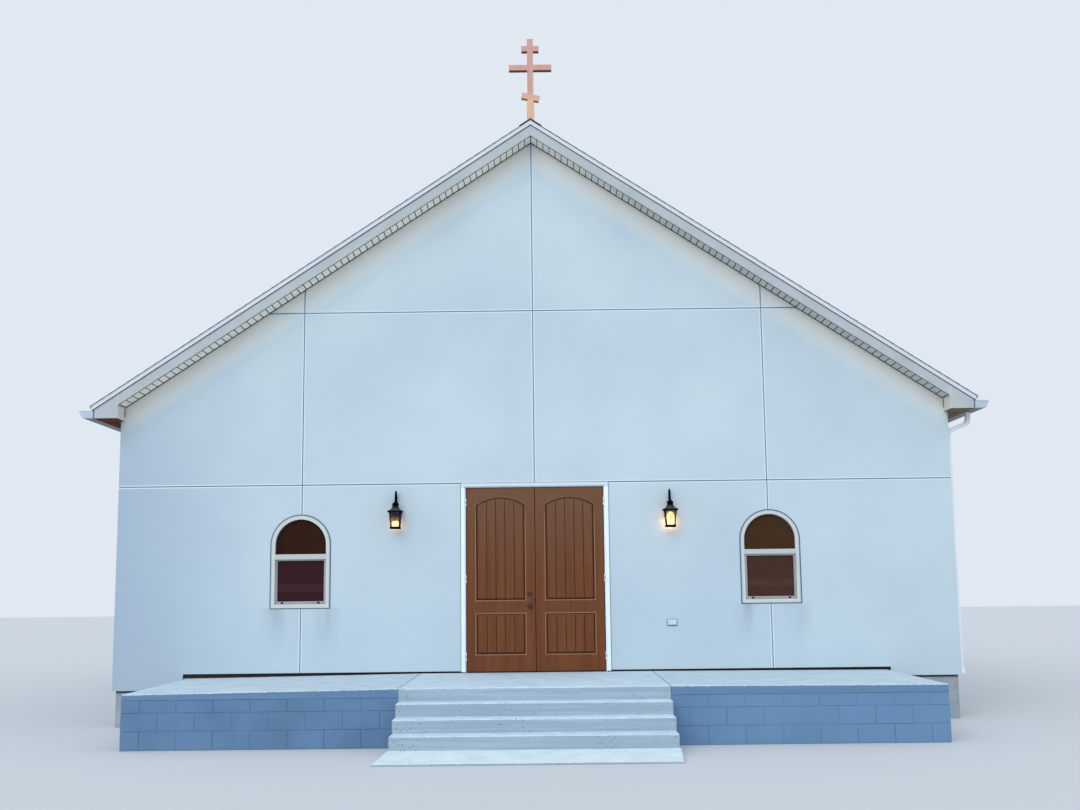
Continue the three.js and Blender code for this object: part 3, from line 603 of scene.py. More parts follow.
class Shape:
    """A mesh in the making."""

    def __init__(self) -> None:
        """Start with nothing."""
        self.mesh = bmesh.new()

    def rounded(self, edges: Iterable[bmesh.types.BMEdge], width: float, steps: int) -> None:
        """Bevel edges.

        Args:
            edges: The edges.
            width: How far the bevel reaches on each side.
            steps: The number of parts of its curve.
        """
        bmesh.ops.bevel(
            self.mesh, geom=list(edges), offset=width, segments=steps, profile=0.5, affect="EDGES",
            material=-1, clamp_overlap=True,
        )

    def block(
        self, low: Point, high: Point, rounding: float = 0.0, steps: int = 2, turn: Matrix | None = None
    ) -> None:
        """Add a box with rounded edges.

        Args:
            low: One corner.
            high: The corner opposite.
            rounding: The width of the bevel on its edges.
            steps: The number of parts of the bevel.
            turn: Where the box's own axes lie, if not along the building's.
        """
        first = Vector(map(min, low, high))
        last = Vector(map(max, low, high))
        place = Matrix.Translation((first + last) / 2) @ Matrix.Diagonal((*(last - first), 1.0))
        whole = (turn or Matrix()) @ place
        made = bmesh.ops.create_cube(self.mesh, size=1.0, matrix=whole)["verts"]
        if rounding:
            self.rounded({edge for vert in made for edge in vert.link_edges}, rounding, steps)

    def prism(
        self, outline: Iterable[Point], along: Point, rounding: float = 0.0, steps: int = 2
    ) -> None:
        """Add a solid with the same outline from end to end.

        Args:
            outline: The corners of one end.
            along: The way from that end to the other.
            rounding: The width of the bevel on its edges.
            steps: The number of parts of the bevel.
        """
        face = self.mesh.faces.new([self.mesh.verts.new(point) for point in outline])
        moved, _ = self.extruded([face], along)
        if rounding:
            ends = [*face.verts, *moved]
            self.rounded({edge for vert in ends for edge in vert.link_edges}, rounding, steps)

    def extruded(self, faces: list[bmesh.types.BMFace], along: Point) -> tuple[list, set]:
        """Push faces out of the mesh.

        Args:
            faces: The faces.
            along: How far they go, and which way.

        Returns:
            The vertices and the faces that moved.
        """
        made = bmesh.ops.extrude_face_region(self.mesh, geom=faces)["geom"]
        verts = [item for item in made if isinstance(item, bmesh.types.BMVert)]
        bmesh.ops.translate(self.mesh, vec=along, verts=verts)
        return verts, {item for item in made if isinstance(item, bmesh.types.BMFace)}

    def turned(self, profile: Profile, centre: Point, axis: Point, steps: int) -> None:
        """Spin a profile round an axis.

        Args:
            profile: Each point's radius, and its distance along the axis.
            centre: Where the axis starts.
            axis: The axis's direction.
            steps: The number of sides.
        """
        along = Vector(axis)
        line = [self.mesh.verts.new(Vector(centre) + Vector((r, 0, 0)) + along * d) for r, d in profile]
        edges = [self.mesh.edges.new(pair) for pair in zip(line, line[1:])]
        bmesh.ops.spin(
            self.mesh, geom=[*line, *edges], cent=centre, axis=axis, angle=math.tau, steps=steps,
            use_merge=True,
        )

    def squared(self, profile: Profile, centre: Point) -> None:
        """Stack square rings on an upright axis, with end caps unless the profile is closed.

        Args:
            profile: Each ring's half width, and its height above the centre.
            centre: Where the axis starts.
        """
        x, y, z = centre
        rings = [
            [self.mesh.verts.new((x + u * half, y + v * half, z + up)) for u, v in CORNERS]
            for half, up in profile
        ]
        for low, high in zip(rings, rings[1:]):
            for i in range(len(CORNERS)):
                after = (i + 1) % len(CORNERS)
                self.mesh.faces.new((low[i], low[after], high[after], high[i]))
        if profile[0] != profile[-1]:
            self.mesh.faces.new(rings[0])
            self.mesh.faces.new(rings[-1])

    def swept(self, section: Profile, frames: Sequence[Matrix]) -> None:
        """Carry a closed section along a bent line.

        Args:
            section: The section's corners, in each frame's X and Y.
            frames: The frames along the line.
        """
        corners = [self.mesh.verts.new(frames[0] @ Vector((u, v, 0))) for u, v in section]
        face = self.mesh.faces.new(corners)
        for before, after in zip(frames, frames[1:]):
            (face,) = self.extruded([face], (0, 0, 0))[1]
            bmesh.ops.transform(self.mesh, matrix=after @ before.inverted(), verts=face.verts)

    def toned(self, first: int, tone: float) -> None:
        """Give the vertices from a number on a tone of their own.

        Args:
            first: The number.
            tone: The tone, from 0 to 1.
        """
        layers = self.mesh.verts.layers.float
        layer = layers.get("tone") or layers.new("tone")
        self.mesh.verts.ensure_lookup_table()
        for vert in self.mesh.verts[first:]:
            vert[layer] = tone

    def softened(
        self, width: float, steps: int, chosen: Callable[[Vector], bool], angle: float = 40.0
    ) -> None:
        """Bevel the sharp edges whose middles are chosen.

        Args:
            width: The width of the bevel.
            steps: The number of parts of its curve.
            chosen: Says whether an edge with that middle is softened.
            angle: The least angle of a sharp edge, in degrees.
        """
        sharp = [
            edge
            for edge in self.mesh.edges
            if edge.is_manifold
            and edge.calc_face_angle(0.0) > math.radians(angle)
            and chosen((edge.verts[0].co + edge.verts[1].co) / 2)
        ]
        self.rounded(sharp, width, steps)

    def piece(
        self,
        name: str,
        finish: Finishes,
        body: str = "root",
        replaces: Sequence[str] = (),
        smooth: float = 35.0,
    ) -> None:
        """Finish the shape as a piece of the building.

        Args:
            name: The piece's name.
            finish: Its finish.
            body: The body that it moves with.
            replaces: The CAD nodes that it stands for.
            smooth: The angle in degrees under which edges are shaded smooth.
        """
        bmesh.ops.remove_doubles(self.mesh, verts=self.mesh.verts, dist=WELD)
        bmesh.ops.recalc_face_normals(self.mesh, faces=self.mesh.faces)
        mesh = bpy.data.meshes.new(name)
        self.mesh.to_mesh(mesh)
        self.mesh.free()
        mesh.shade_smooth()
        mesh.set_sharp_from_angle(angle=math.radians(smooth))
        mesh.materials.append(finish.value.material())
        made = placed(name, mesh)
        weighted = made.modifiers.new("flat faces stay flat", "WEIGHTED_NORMAL")
        weighted.keep_sharp = True
        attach(made, body)
        if replaces:
            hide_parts(*replaces)
        log.info("%s: %d faces", name, len(mesh.polygons))


def recut(source: str, name: str, finish: Finishes, slot: str, *cuts: tuple) -> None:
    """Put a copy of a CAD node with softened edges in the node's place.

    Args:
        source: The node.
        name: The new piece's name.
        finish: Its finish.
        slot: The record's material slot; it is not used.
        cuts: What each call that softens edges is given.
    """
    shape = Shape()
    mesh = shape.mesh
    mesh.from_mesh(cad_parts[source].data)
    bmesh.ops.remove_doubles(mesh, verts=mesh.verts, dist=WELD)
    bmesh.ops.dissolve_limit(mesh, angle_limit=math.radians(1), verts=mesh.verts, edges=mesh.edges)
    for cut in cuts:
        shape.softened(*cut)
    shape.piece(name, finish, replaces=[source])


def dress(finish: Finishes, *names: str) -> None:
    """Give CAD nodes a finish.

    Args:
        finish: The finish.
        names: The nodes.
    """
    for name in names:
        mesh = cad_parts[name].data
        if mesh.materials:
            mesh.materials[0] = finish.value.material()
        else:
            mesh.materials.append(finish.value.material())
        log.info("%s: %s", name, finish.value.name)


@dataclass
class BlockWork:
    """Painted concrete blocks in running bond.

    Attributes:
        pitch: From one block to the next.
        joint: The width of the mortar joint that shows.
        bed: How deep a block is.
        rounding: The paint's rounding at a block's edges.
        wander: How far a block may lie out of line.
        tilt: How far a block may lean along the course, in radians.
    """

    pitch: float = 0.42
    joint: float = 0.006
    bed: float = 0.1
    rounding: float = 0.002
    wander: float = 0.0
    tilt: float = 0.0

    def lay(
        self,
        shape: Shape,
        corner: Point,
        end: Point,
        inward: Point,
        levels: Sequence[float],
        first: int,
        shared: bool = True,
    ) -> None:
        """Lay the courses of one face, starting at a corner.

        Where a course starts with half a block at a shared corner, that half is the end of the
        other face's corner block.

        Args:
            shape: The shape that gets the blocks.
            corner: The face's corner, at ground level.
            end: The face's other end.
            inward: The direction into the wall.
            levels: The heights of the joints between courses.
            first: The first course that starts with a whole block, 0 or 1.
            shared: Whether another face starts at the same corner.
        """
        dice = random.Random(f"{corner}{inward}")
        start = Vector(corner)
        run = Vector(end) - start
        ahead = run.normalized()
        into = Vector(inward)
        up = Vector((0, 0, 1))
        gap = self.joint / 2
        half = run.length / round(2 * run.length / self.pitch)
        for course, (low, high) in enumerate(zip(levels, levels[1:])):
            whole = (course + first) % 2 == 0
            at = 0.0
            far = 2 * half if whole else half
            while at < run.length - gap:
                sag, back, slide = (dice.uniform(0.0, self.wander) for _ in range(3))
                if at > 0 or whole or not shared:
                    near_gap = gap + slide if at > 0 else 0.0
                    deep = self.pitch / 2 - gap if at == 0 and shared else self.bed
                    face = start + into * back
                    near_corner = face + ahead * (at + near_gap) + up * (low + gap)
                    far_corner = face + ahead * (far - gap) + up * (high - gap - sag)
                    middle = Matrix.Translation((near_corner + far_corner) / 2)
                    lean = Matrix.Rotation(dice.uniform(-self.tilt, self.tilt), 4, into)
                    turn = middle @ lean @ middle.inverted()
                    shape.block(near_corner, far_corner + into * deep, self.rounding, turn=turn)
                at = far
                far = min(at + 2 * half, run.length)


@dataclass
class Walls:
    """The hall's coat of stucco, its floor, and the painted blocks below the coat."""

    foundation_half: float = 5.53
    foundation_ends: tuple[float, float] = (-5.702, 9.448)
    porch_end: float = 4.62
    proud: float = 0.004
    shade: float = 0.028
    left_foot: float = 0.468
    right_foot: float = 0.562
    back_foot: float = 0.515
    courses: tuple[float, ...] = (0.0, 0.2, 0.4)
    least_course: float = 0.06

    def build(self) -> None:
        """Dress the walls and lay the foundation's blocks."""
        walls = ("front_wall_left", "front_wall_right", "front_gable_wall", "back_wall")
        dress(Finishes.STUCCO, *walls, "left_wall", "right_wall")
        dress(Finishes.BLOCK, "foundation")
        dress(Finishes.HALL_FLOOR, "floor_slab")
        dress(Finishes.SILL, "front_sill_left", "front_sill_right")
        self.blocks()

    def levels(self, foot: float) -> list[float]:
        """The joints between the courses under a wall's coat."""
        top = foot - self.shade
        return [*[level for level in self.courses if level < top - self.least_course], top]

    def blocks(self) -> None:
        """Lay the foundation's blocks, a little proud of the mortar, and a dark band of painted shade under
        the coat's foot.
        """
        work = BlockWork()
        shape = Shape()
        shaded = Shape()
        side = self.foundation_half + self.proud
        front = self.foundation_ends[0] - self.proud
        back = self.foundation_ends[1] + self.proud
        for (_, sign), top in zip(SIDES, (self.left_foot, self.right_foot)):
            edge = sign * side
            inward = (-sign, 0, 0)
            end = sign * self.porch_end
            levels = self.levels(top)
            work.lay(shape, (edge, front, 0), (edge, back, 0), inward, levels, 0)
            work.lay(shape, (edge, front, 0), (end, front, 0), (0, 1, 0), levels, 1)
            # A dark band along the top of the blocks is painted shade under the coat's foot
            low = top - self.shade
            shaded.block((edge, front, low), (edge - sign * work.bed, back, top - 0.001))
            shaded.block((edge - sign * work.bed, front, low), (end, front + work.bed, top - 0.001))
        inner = side - work.bed - work.joint / 2
        levels = self.levels(self.back_foot)
        work.lay(shape, (-inner, back, 0), (inner, back, 0), (0, -1, 0), levels, 1, shared=False)
        top = self.back_foot - 0.001
        shaded.block((-inner, back, top - self.shade), (inner, back - work.bed, top))
        shape.piece("foundation_blocks", Finishes.BLOCK)
        shaded.piece("foundation_top_shade", Finishes.DARK_JOINT_AND_SHADE)


@dataclass
class Roof:
    """Three-tab shingles on both slopes, and the caps along the ridge."""

    exposure: float = 0.143
    tab: float = 1 / 3
    least_tab: float = 0.02
    gap: float = 0.006
    butt: float = 0.005
    thickness: float = 0.005
    eave: float = 5.883
    courses: int = 48
    wander: float = 0.002
    cap_half: float = 0.15
    cap_rise: float = 0.012
    cap_length: float = 0.1573
    cap_thickness: float = 0.004
    cap_drop: float = 0.0035
    cap_wander: float = 0.003
    least_cap: float = 0.03
    tones: tuple[float, float] = (0.1, 0.9)

    def build(self) -> None:
        """Shingle both slopes and the ridge."""
        dress(Finishes.SHINGLE, "roof_left", "roof_right", "ridge_cap")
        for name, sign in SIDES:
            self.slope(name, sign)
        self.ridge()

    def slope(self, name: str, sign: int) -> None:
        """Lay the tabs of one slope, each in a tone of its own.

        Args:
            name: The side's name.
            sign: Which way the slope falls along X.
        """
        dice = random.Random(name)
        shape = Shape()
        plane = slope_frame(sign, SHINGLE_APEX)
        base = slope_frame(sign, SHINGLE_APEX, self.butt / self.exposure)
        length = self.eave * math.hypot(1, ROOF_FALL)
        for course in range(self.courses):
            base.translation = plane @ Vector((length - (course + 1) * self.exposure, 0, -0.001))
            y = ROOF_ENDS[0] - (course % 2) * self.tab / 2
            while y < ROOF_ENDS[1] - self.least_tab:
                first = max(y, ROOF_ENDS[0]) + self.gap / 2
                last = min(y + self.tab, ROOF_ENDS[1]) - self.gap / 2
                if last - first > self.least_tab:
                    before = len(shape.mesh.verts)
                    foot = self.exposure + dice.uniform(-self.wander, self.wander)
                    shape.block((0, first, -self.thickness), (foot, last, 0), turn=base)
                    shape.toned(before, dice.uniform(*self.tones))
                y += self.tab
        shape.piece(f"roof_shingles_{name}", Finishes.SHINGLE, smooth=10.0)

    def ridge(self) -> None:
        """Lap the bent caps along the ridge."""
        dice = random.Random("ridge")
        shape = Shape()
        apex = SHINGLE_APEX + self.cap_rise
        lift = Vector((0, 0, self.cap_thickness))
        y = ROOF_ENDS[0]
        while y < ROOF_ENDS[1] - self.least_cap:
            ahead = min(y + self.cap_length, ROOF_ENDS[1])
            half = self.cap_half + dice.uniform(-self.cap_wander, self.cap_wander)
            edge = apex - ROOF_FALL * half
            under = [Vector(point) for point in ((-half, y, edge), (0, y, apex), (half, y, edge))]
            outline = [*under, *[point + lift for point in reversed(under)]]
            before = len(shape.mesh.verts)
            shape.prism(outline, (0, ahead - y, -self.cap_drop))
            shape.toned(before, dice.uniform(*self.tones))
            y += self.exposure
        shape.piece("ridge_shingles", Finishes.SHINGLE, smooth=10.0)


@dataclass
class GableEnds:
    """Drip edges, fascia boards and the grooved soffits of both gable ends."""

    drip_height: float = 0.044
    drip_proud: float = 0.018
    drip_hem: float = 0.009
    hem_proud: float = 0.0035
    shadow: float = 0.013
    joint: float = 0.0015
    reach: float = 5.86
    return_edge: float = 5.523
    return_depth: float = 0.028
    corner_joint: float = 0.012
    board: float = 0.1
    board_gap: float = 0.013
    board_depth: float = 0.008
    board_start: float = 0.004
    board_rounding: float = 0.0028
    board_end: float = 5.512
    wall_gap: float = 0.045
    channel: float = 0.009
    fascia_gap: float = 0.026
    fascia: float = 0.025

    def build(self) -> None:
        """Build the trim of both ends."""
        ends = ("front", "back")
        dress(Finishes.TRIM, *[f"{end}_fascia_{side}" for end in ends for side, _ in SIDES])
        dress(Finishes.SOFFIT_GROOVE, *[f"{end}_soffit" for end in ends])
        self.drip_edges()
        self.soffit("front", WALL_FRONT, FASCIA_ENDS[0] + self.fascia)
        self.soffit("back", WALL_BACK, FASCIA_ENDS[1] - self.fascia)

    def band(self, shape: Shape, end: float, tops: tuple[float, float], depth: tuple[float, float]) -> None:
        """Add a band that follows the rake from the ridge towards the eave.

        Args:
            shape: The shape that gets the band.
            end: Where it ends along X.
            tops: The heights at the ridge of its lower and upper edge.
            depth: Its limits along Y.
        """
        low, high = tops
        start, stop = depth
        drop = ROOF_FALL * abs(end)
        outline = [(0, start, low), (end, start, low - drop), (end, start, high - drop), (0, start, high)]
        shape.prism(outline, (0, stop - start, 0))

    def drip_edges(self) -> None:
        """Add the metal edge under the shingles with its hem, and dark strips of painted shade round the
        trim.
        """
        shape = Shape()
        joints = Shape()
        foot = DECK_APEX - self.drip_height
        for face, out, wall in zip(FASCIA_ENDS, ENDS, (WALL_FRONT, WALL_BACK)):
            for _, sign in SIDES:
                end = sign * self.reach
                hem = face + out * (self.drip_proud + self.hem_proud)
                self.band(shape, end, (foot, DECK_APEX - 0.001), (face, face + out * self.drip_proud))
                self.band(shape, end, (foot - 0.002, foot + self.drip_hem), (face, hem))
                # Painted shade: dark strips under the hem, under the soffit, by the returns and at the
                # fascia
                thin = (face, face + out * self.joint)
                self.band(joints, end, (foot - self.shadow, foot - 0.002), thin)
                channel = (SOFFIT_APEX - self.channel, SOFFIT_APEX)
                self.band(joints, sign * self.board_end, channel, (wall, wall + out * 0.002))
                top = SOFFIT_APEX - ROOF_FALL * self.return_edge - 0.01
                low = (sign * (self.return_edge - self.joint), wall + out * 0.0005, EAVE_FOOT + 0.05)
                joints.block(low, (sign * self.return_edge, wall + out * self.return_depth, top))
                low = (sign * (EAVE_FACE - self.corner_joint), face + out * self.joint, EAVE_FOOT)
                joints.block(low, (sign * EAVE_FACE, face, foot - ROOF_FALL * EAVE_FACE))
        shape.piece("rake_drip_edges", Finishes.DRIP)
        joints.piece("rake_shadow_strips", Finishes.DARK_JOINT_AND_SHADE)

    def soffit(self, name: str, wall: float, fascia: float) -> None:
        """Lay the soffit's boards side by side down both slopes, over dark grooves.

        Args:
            name: Which end it is.
            wall: Where the wall is along Y.
            fascia: Where the back of the fascia is along Y.
        """
        shape = Shape()
        length = self.board_end * math.hypot(1, ROOF_FALL)
        out = math.copysign(1, fascia - wall)
        for _, sign in SIDES:
            turn = slope_frame(sign, SOFFIT_APEX)
            for i in range(math.ceil(length / self.board)):
                near = self.board_start + i * self.board + self.board_gap / 2
                far = min(near + self.board - self.board_gap, length)
                low = (near, wall + out * self.wall_gap, -self.board_depth)
                high = (far, fascia - out * self.fascia_gap, 0.001)
                shape.block(low, high, self.board_rounding, 1, turn)
        shape.piece(f"{name}_soffit_boards", Finishes.SOFFIT)


@dataclass
class Eave:
    """A boxed eave with its lining, its gutter with hangers, and its downspout."""

    name: str
    sign: int
    lining: Finishes
    spout_y: float
    seam: float = 5.705
    inner: float = 5.58
    return_inner: float = 5.526
    panel: float = 0.005
    panel_inset: float = 0.006
    panel_gap: float = 0.004
    gutter_foot: float = 4.038
    gutter_height: float = 0.105
    gutter_reach: float = 0.185
    lip: tuple[float, float] = (0.016, 0.011)
    hanger_step: float = 0.6
    hanger_half: float = 0.014
    spout_width: float = 0.076
    spout_depth: float = 0.06
    spout_line: float = 5.6053
    outlet: float = 5.885
    spout_turn: float = 3.89
    spout_landing: float = 3.785
    spout_foot: float = 0.57
    shoe: float = 0.028
    spout_back: float = 0.0299
    strap_front: float = 0.032
    strap_heights: tuple[float, float] = (1.36, 3.25)
    strap_width: float = 0.026
    ear_half: float = 0.013

    def at(self, x: float, y: float, z: float) -> Point:
        """A point on this side of the hall."""
        return (self.sign * x, y, z)

    def build(self) -> None:
        """Build the eave."""
        dress(Finishes.TRIM, f"{self.name}_eave_box")
        dress(Finishes.GUTTER, f"{self.name}_gutter")
        self.panels()
        self.gutter_trim()
        self.downspout()

    def panels(self) -> None:
        """Line the underside, with a seam along its middle."""
        shape = Shape()
        front, back = FASCIA_ENDS[0] + self.panel_inset, FASCIA_ENDS[1] - self.panel_inset
        for near, far, start, end in (
            (self.inner, self.seam - self.panel_gap, front, back),
            (self.seam + self.panel_gap, EAVE_FACE - self.panel_gap, front, back),
            (self.return_inner, self.inner - 0.003, front, WALL_FRONT - 0.002),
            (self.return_inner, self.inner - 0.003, WALL_BACK + 0.002, back),
        ):
            low = self.at(near, start, EAVE_FOOT - self.panel)
            shape.block(low, self.at(far, end, EAVE_FOOT + 0.0005), 0.002, 1)
        shape.piece(f"{self.name}_eave_lining", self.lining)

    def gutter_trim(self) -> None:
        """Add the gutter's end caps, its rolled lip and the hangers across it."""
        caps = Shape()
        profile = [
            (0.004, 0.1), (0.004, 0.001), (0.125, 0.001), (0.145, 0.012), (0.163, 0.036), (0.17, 0.065),
            (0.184, 0.081), (0.184, 0.1),
        ]
        for face, out in zip(FASCIA_ENDS, ENDS):
            cap = [self.at(EAVE_FACE + u, face + out * 0.004, self.gutter_foot + v) for u, v in profile]
            caps.prism(cap, (0, -out * 0.006, 0), 0.001, 1)
        caps.piece(f"{self.name}_gutter_caps", Finishes.GUTTER_CAP)
        shape = Shape()
        top = self.gutter_foot + self.gutter_height
        lip = EAVE_FACE + self.gutter_reach
        start, end = FASCIA_ENDS[0] + 0.002, FASCIA_ENDS[1] - 0.002
        low = self.at(lip - self.lip[0], start, top - self.lip[1])
        shape.block(low, self.at(lip - 0.0005, end, top), 0.004, 2)
        y = start + self.hanger_step / 2
        while y < end:
            low = self.at(EAVE_FACE + 0.002, y - self.hanger_half, top - 0.008)
            shape.block(low, self.at(lip - 0.01, y + self.hanger_half, top - 0.004), 0.001, 1)
            y += self.hanger_step
        shape.piece(f"{self.name}_gutter_trim", Finishes.GUTTER)

    def section(self) -> list[tuple[float, float]]:
        """The section of a downspout, with two shallow flutes on each broad face.

        Returns:
            Its corners.
        """
        half, deep, corner, flute = self.spout_width / 2, self.spout_depth / 2, 0.007, 0.003
        face = [
            (-half + corner, deep), (-0.017, deep), (-0.014, deep - flute), (-0.008, deep - flute),
            (-0.005, deep), (0.005, deep), (0.008, deep - flute), (0.014, deep - flute),
            (0.017, deep), (half - corner, deep), (half - corner * 0.3, deep - corner * 0.3),
            (half, deep - corner),
        ]
        return [*face, *[(u, -v) for u, v in reversed(face)], (-half, corner - deep), (-half, deep - corner)]

    def downspout(self) -> None:
        """Bend the downspout from the gutter to the wall and out at its foot, and strap it."""
        shape = Shape()
        wall, y = self.spout_line, self.spout_y
        corners = [
            (self.outlet, self.gutter_foot - 0.0005), (self.outlet, self.spout_turn),
            (wall, self.spout_landing), (wall, self.spout_foot + 0.07), (wall + self.shoe, self.spout_foot),
        ]
        line = eased([Vector(self.at(x, y, z)) for x, z in corners], 0.065)
        shape.swept(self.section(), bent_frames(line, Vector((0, 1, 0))))
        half = self.spout_width / 2 + 0.0015
        back = wall - self.spout_back
        for foot in (self.spout_landing - 0.1, self.spout_foot + 0.16):
            high = self.at(wall + 0.0312, y + half, foot + 0.012)
            shape.block(self.at(back, y - half, foot), high, 0.001, 1)
        for foot in self.strap_heights:
            high = self.at(wall + self.strap_front, y + half + 0.001, foot + self.strap_width)
            shape.block(self.at(back, y - half - 0.001, foot), high, 0.0015, 1)
            ear = y + math.copysign(half + self.ear_half - 0.001, (WALL_FRONT + WALL_BACK) / 2 - y)
            high = self.at(wall - 0.027, ear + self.ear_half, foot + self.strap_width)
            shape.block(self.at(back, ear - self.ear_half, foot), high, 0.001, 1)
        pipe = f"{self.name}_downspout"
        shape.piece(f"{pipe}_pipe", Finishes.SPOUT, replaces=[pipe])


@dataclass
class Porch:
    """The raised porch of painted blocks and concrete, with its landing and steps."""

    half: float = 4.62
    step_half: float = 1.5203
    front: float = -8.327
    back: float = -5.7023
    slab_foot: float = 0.55
    levels: tuple[float, ...] = (0.0, 0.21, 0.41, 0.5497)
    mortar: float = 0.007
    nosing: float = 0.018
    arris: float = 0.004
    joint: float = 0.009
    near: float = 0.005

    def build(self) -> None:
        """Build both sides, the landing and the steps."""
        # The left side's blocks take the darker copy of the paint, which is painted shade
        for (name, sign), paint in zip(SIDES, (Finishes.SHADED_PORCH_PAINT, Finishes.PORCH_PAINT)):
            self.base(name, sign, paint)
            self.slab(name, sign)
        self.landing()
        for number in (1, 2, 3):
            self.tread(number)
        top = (0.007, 3, lambda middle: middle.z > 0.01)
        recut("step_apron", "porch_apron", Finishes.APRON, "concrete", top)

    def base(self, name: str, sign: int, paint: Finishes) -> None:
        """Lay the blocks of one side of the porch round a plain core.

        Args:
            name: The side's name.
            sign: Which side of the hall it is on.
            paint: The blocks' finish.
        """
        shape = Shape()
        edge = sign * self.half
        low = (sign * self.step_half, self.front + self.mortar, 0)
        shape.block(low, (edge - sign * self.mortar, self.back, self.levels[-1]))
        work = BlockWork(wander=0.0045, tilt=0.007)
        corner = (edge, self.front, 0)
        work.lay(shape, corner, (sign * self.step_half, self.front, 0), (0, 1, 0), self.levels, 1)
        work.lay(shape, corner, (edge, self.back, 0), (-sign, 0, 0), self.levels, 0)
        shape.piece(f"porch_{name}_blocks", paint, replaces=[f"porch_base_{name}"])

    def is_front(self, middle: Vector) -> bool:
        """Say whether an edge lies on the porch's front face."""
        return middle.y < self.front + self.near

    def slab(self, name: str, sign: int) -> None:
        """Round the outer edges of one side's slab.

        Args:
            name: The side's name.
            sign: Which side of the hall it is on.
        """
        edge = self.half - self.near
        rim = (
            self.nosing,
            4,
            lambda middle: (self.is_front(middle) or sign * middle.x > edge)
            and (middle.z > self.slab_foot + 0.05 or self.is_front(middle) and sign * middle.x > edge),
        )
        joint = (self.arris, 2, lambda middle: abs(middle.x) < self.step_half + 0.002, 60.0)
        recut(f"porch_slab_{name}", f"porch_{name}_top", Finishes.PORCH_SLAB, "concrete", rim, joint)

    def landing(self) -> None:
        """Round the landing's front edge, and ease and fill the joints beside it."""
        rim = (self.nosing, 4, lambda middle: self.is_front(middle) and middle.z > FLOOR - 0.01)
        sides = (self.arris, 2, lambda middle: middle.z > FLOOR - 0.03 and abs(middle.x) > 1.5, 60.0)
        recut("landing_slab", "porch_landing", Finishes.STEP, "concrete", rim, sides)
        joints = Shape()
        for _, sign in SIDES:
            middle = sign * self.step_half
            low = (middle - self.joint / 2, self.front + self.nosing, FLOOR - 0.0015)
            joints.block(low, (middle + self.joint / 2, self.back, FLOOR + 0.0003))
        joints.piece("porch_joints", Finishes.DARK_JOINT_AND_SHADE)

    def tread(self, number: int) -> None:
        """Round a tread's nosing and its ends.

        Args:
            number: Which tread it is, from the top.
        """
        name = f"step_{number}"
        low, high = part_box(name)
        rim = (
            self.nosing,
            4,
            lambda middle: middle.z > high.z - self.near
            and middle.y < high.y - 0.01
            or middle.y < low.y + self.near
            and abs(middle.x) > high.x - self.near,
        )
        recut(name, f"porch_tread_{number}", Finishes.STEP, "concrete", rim)


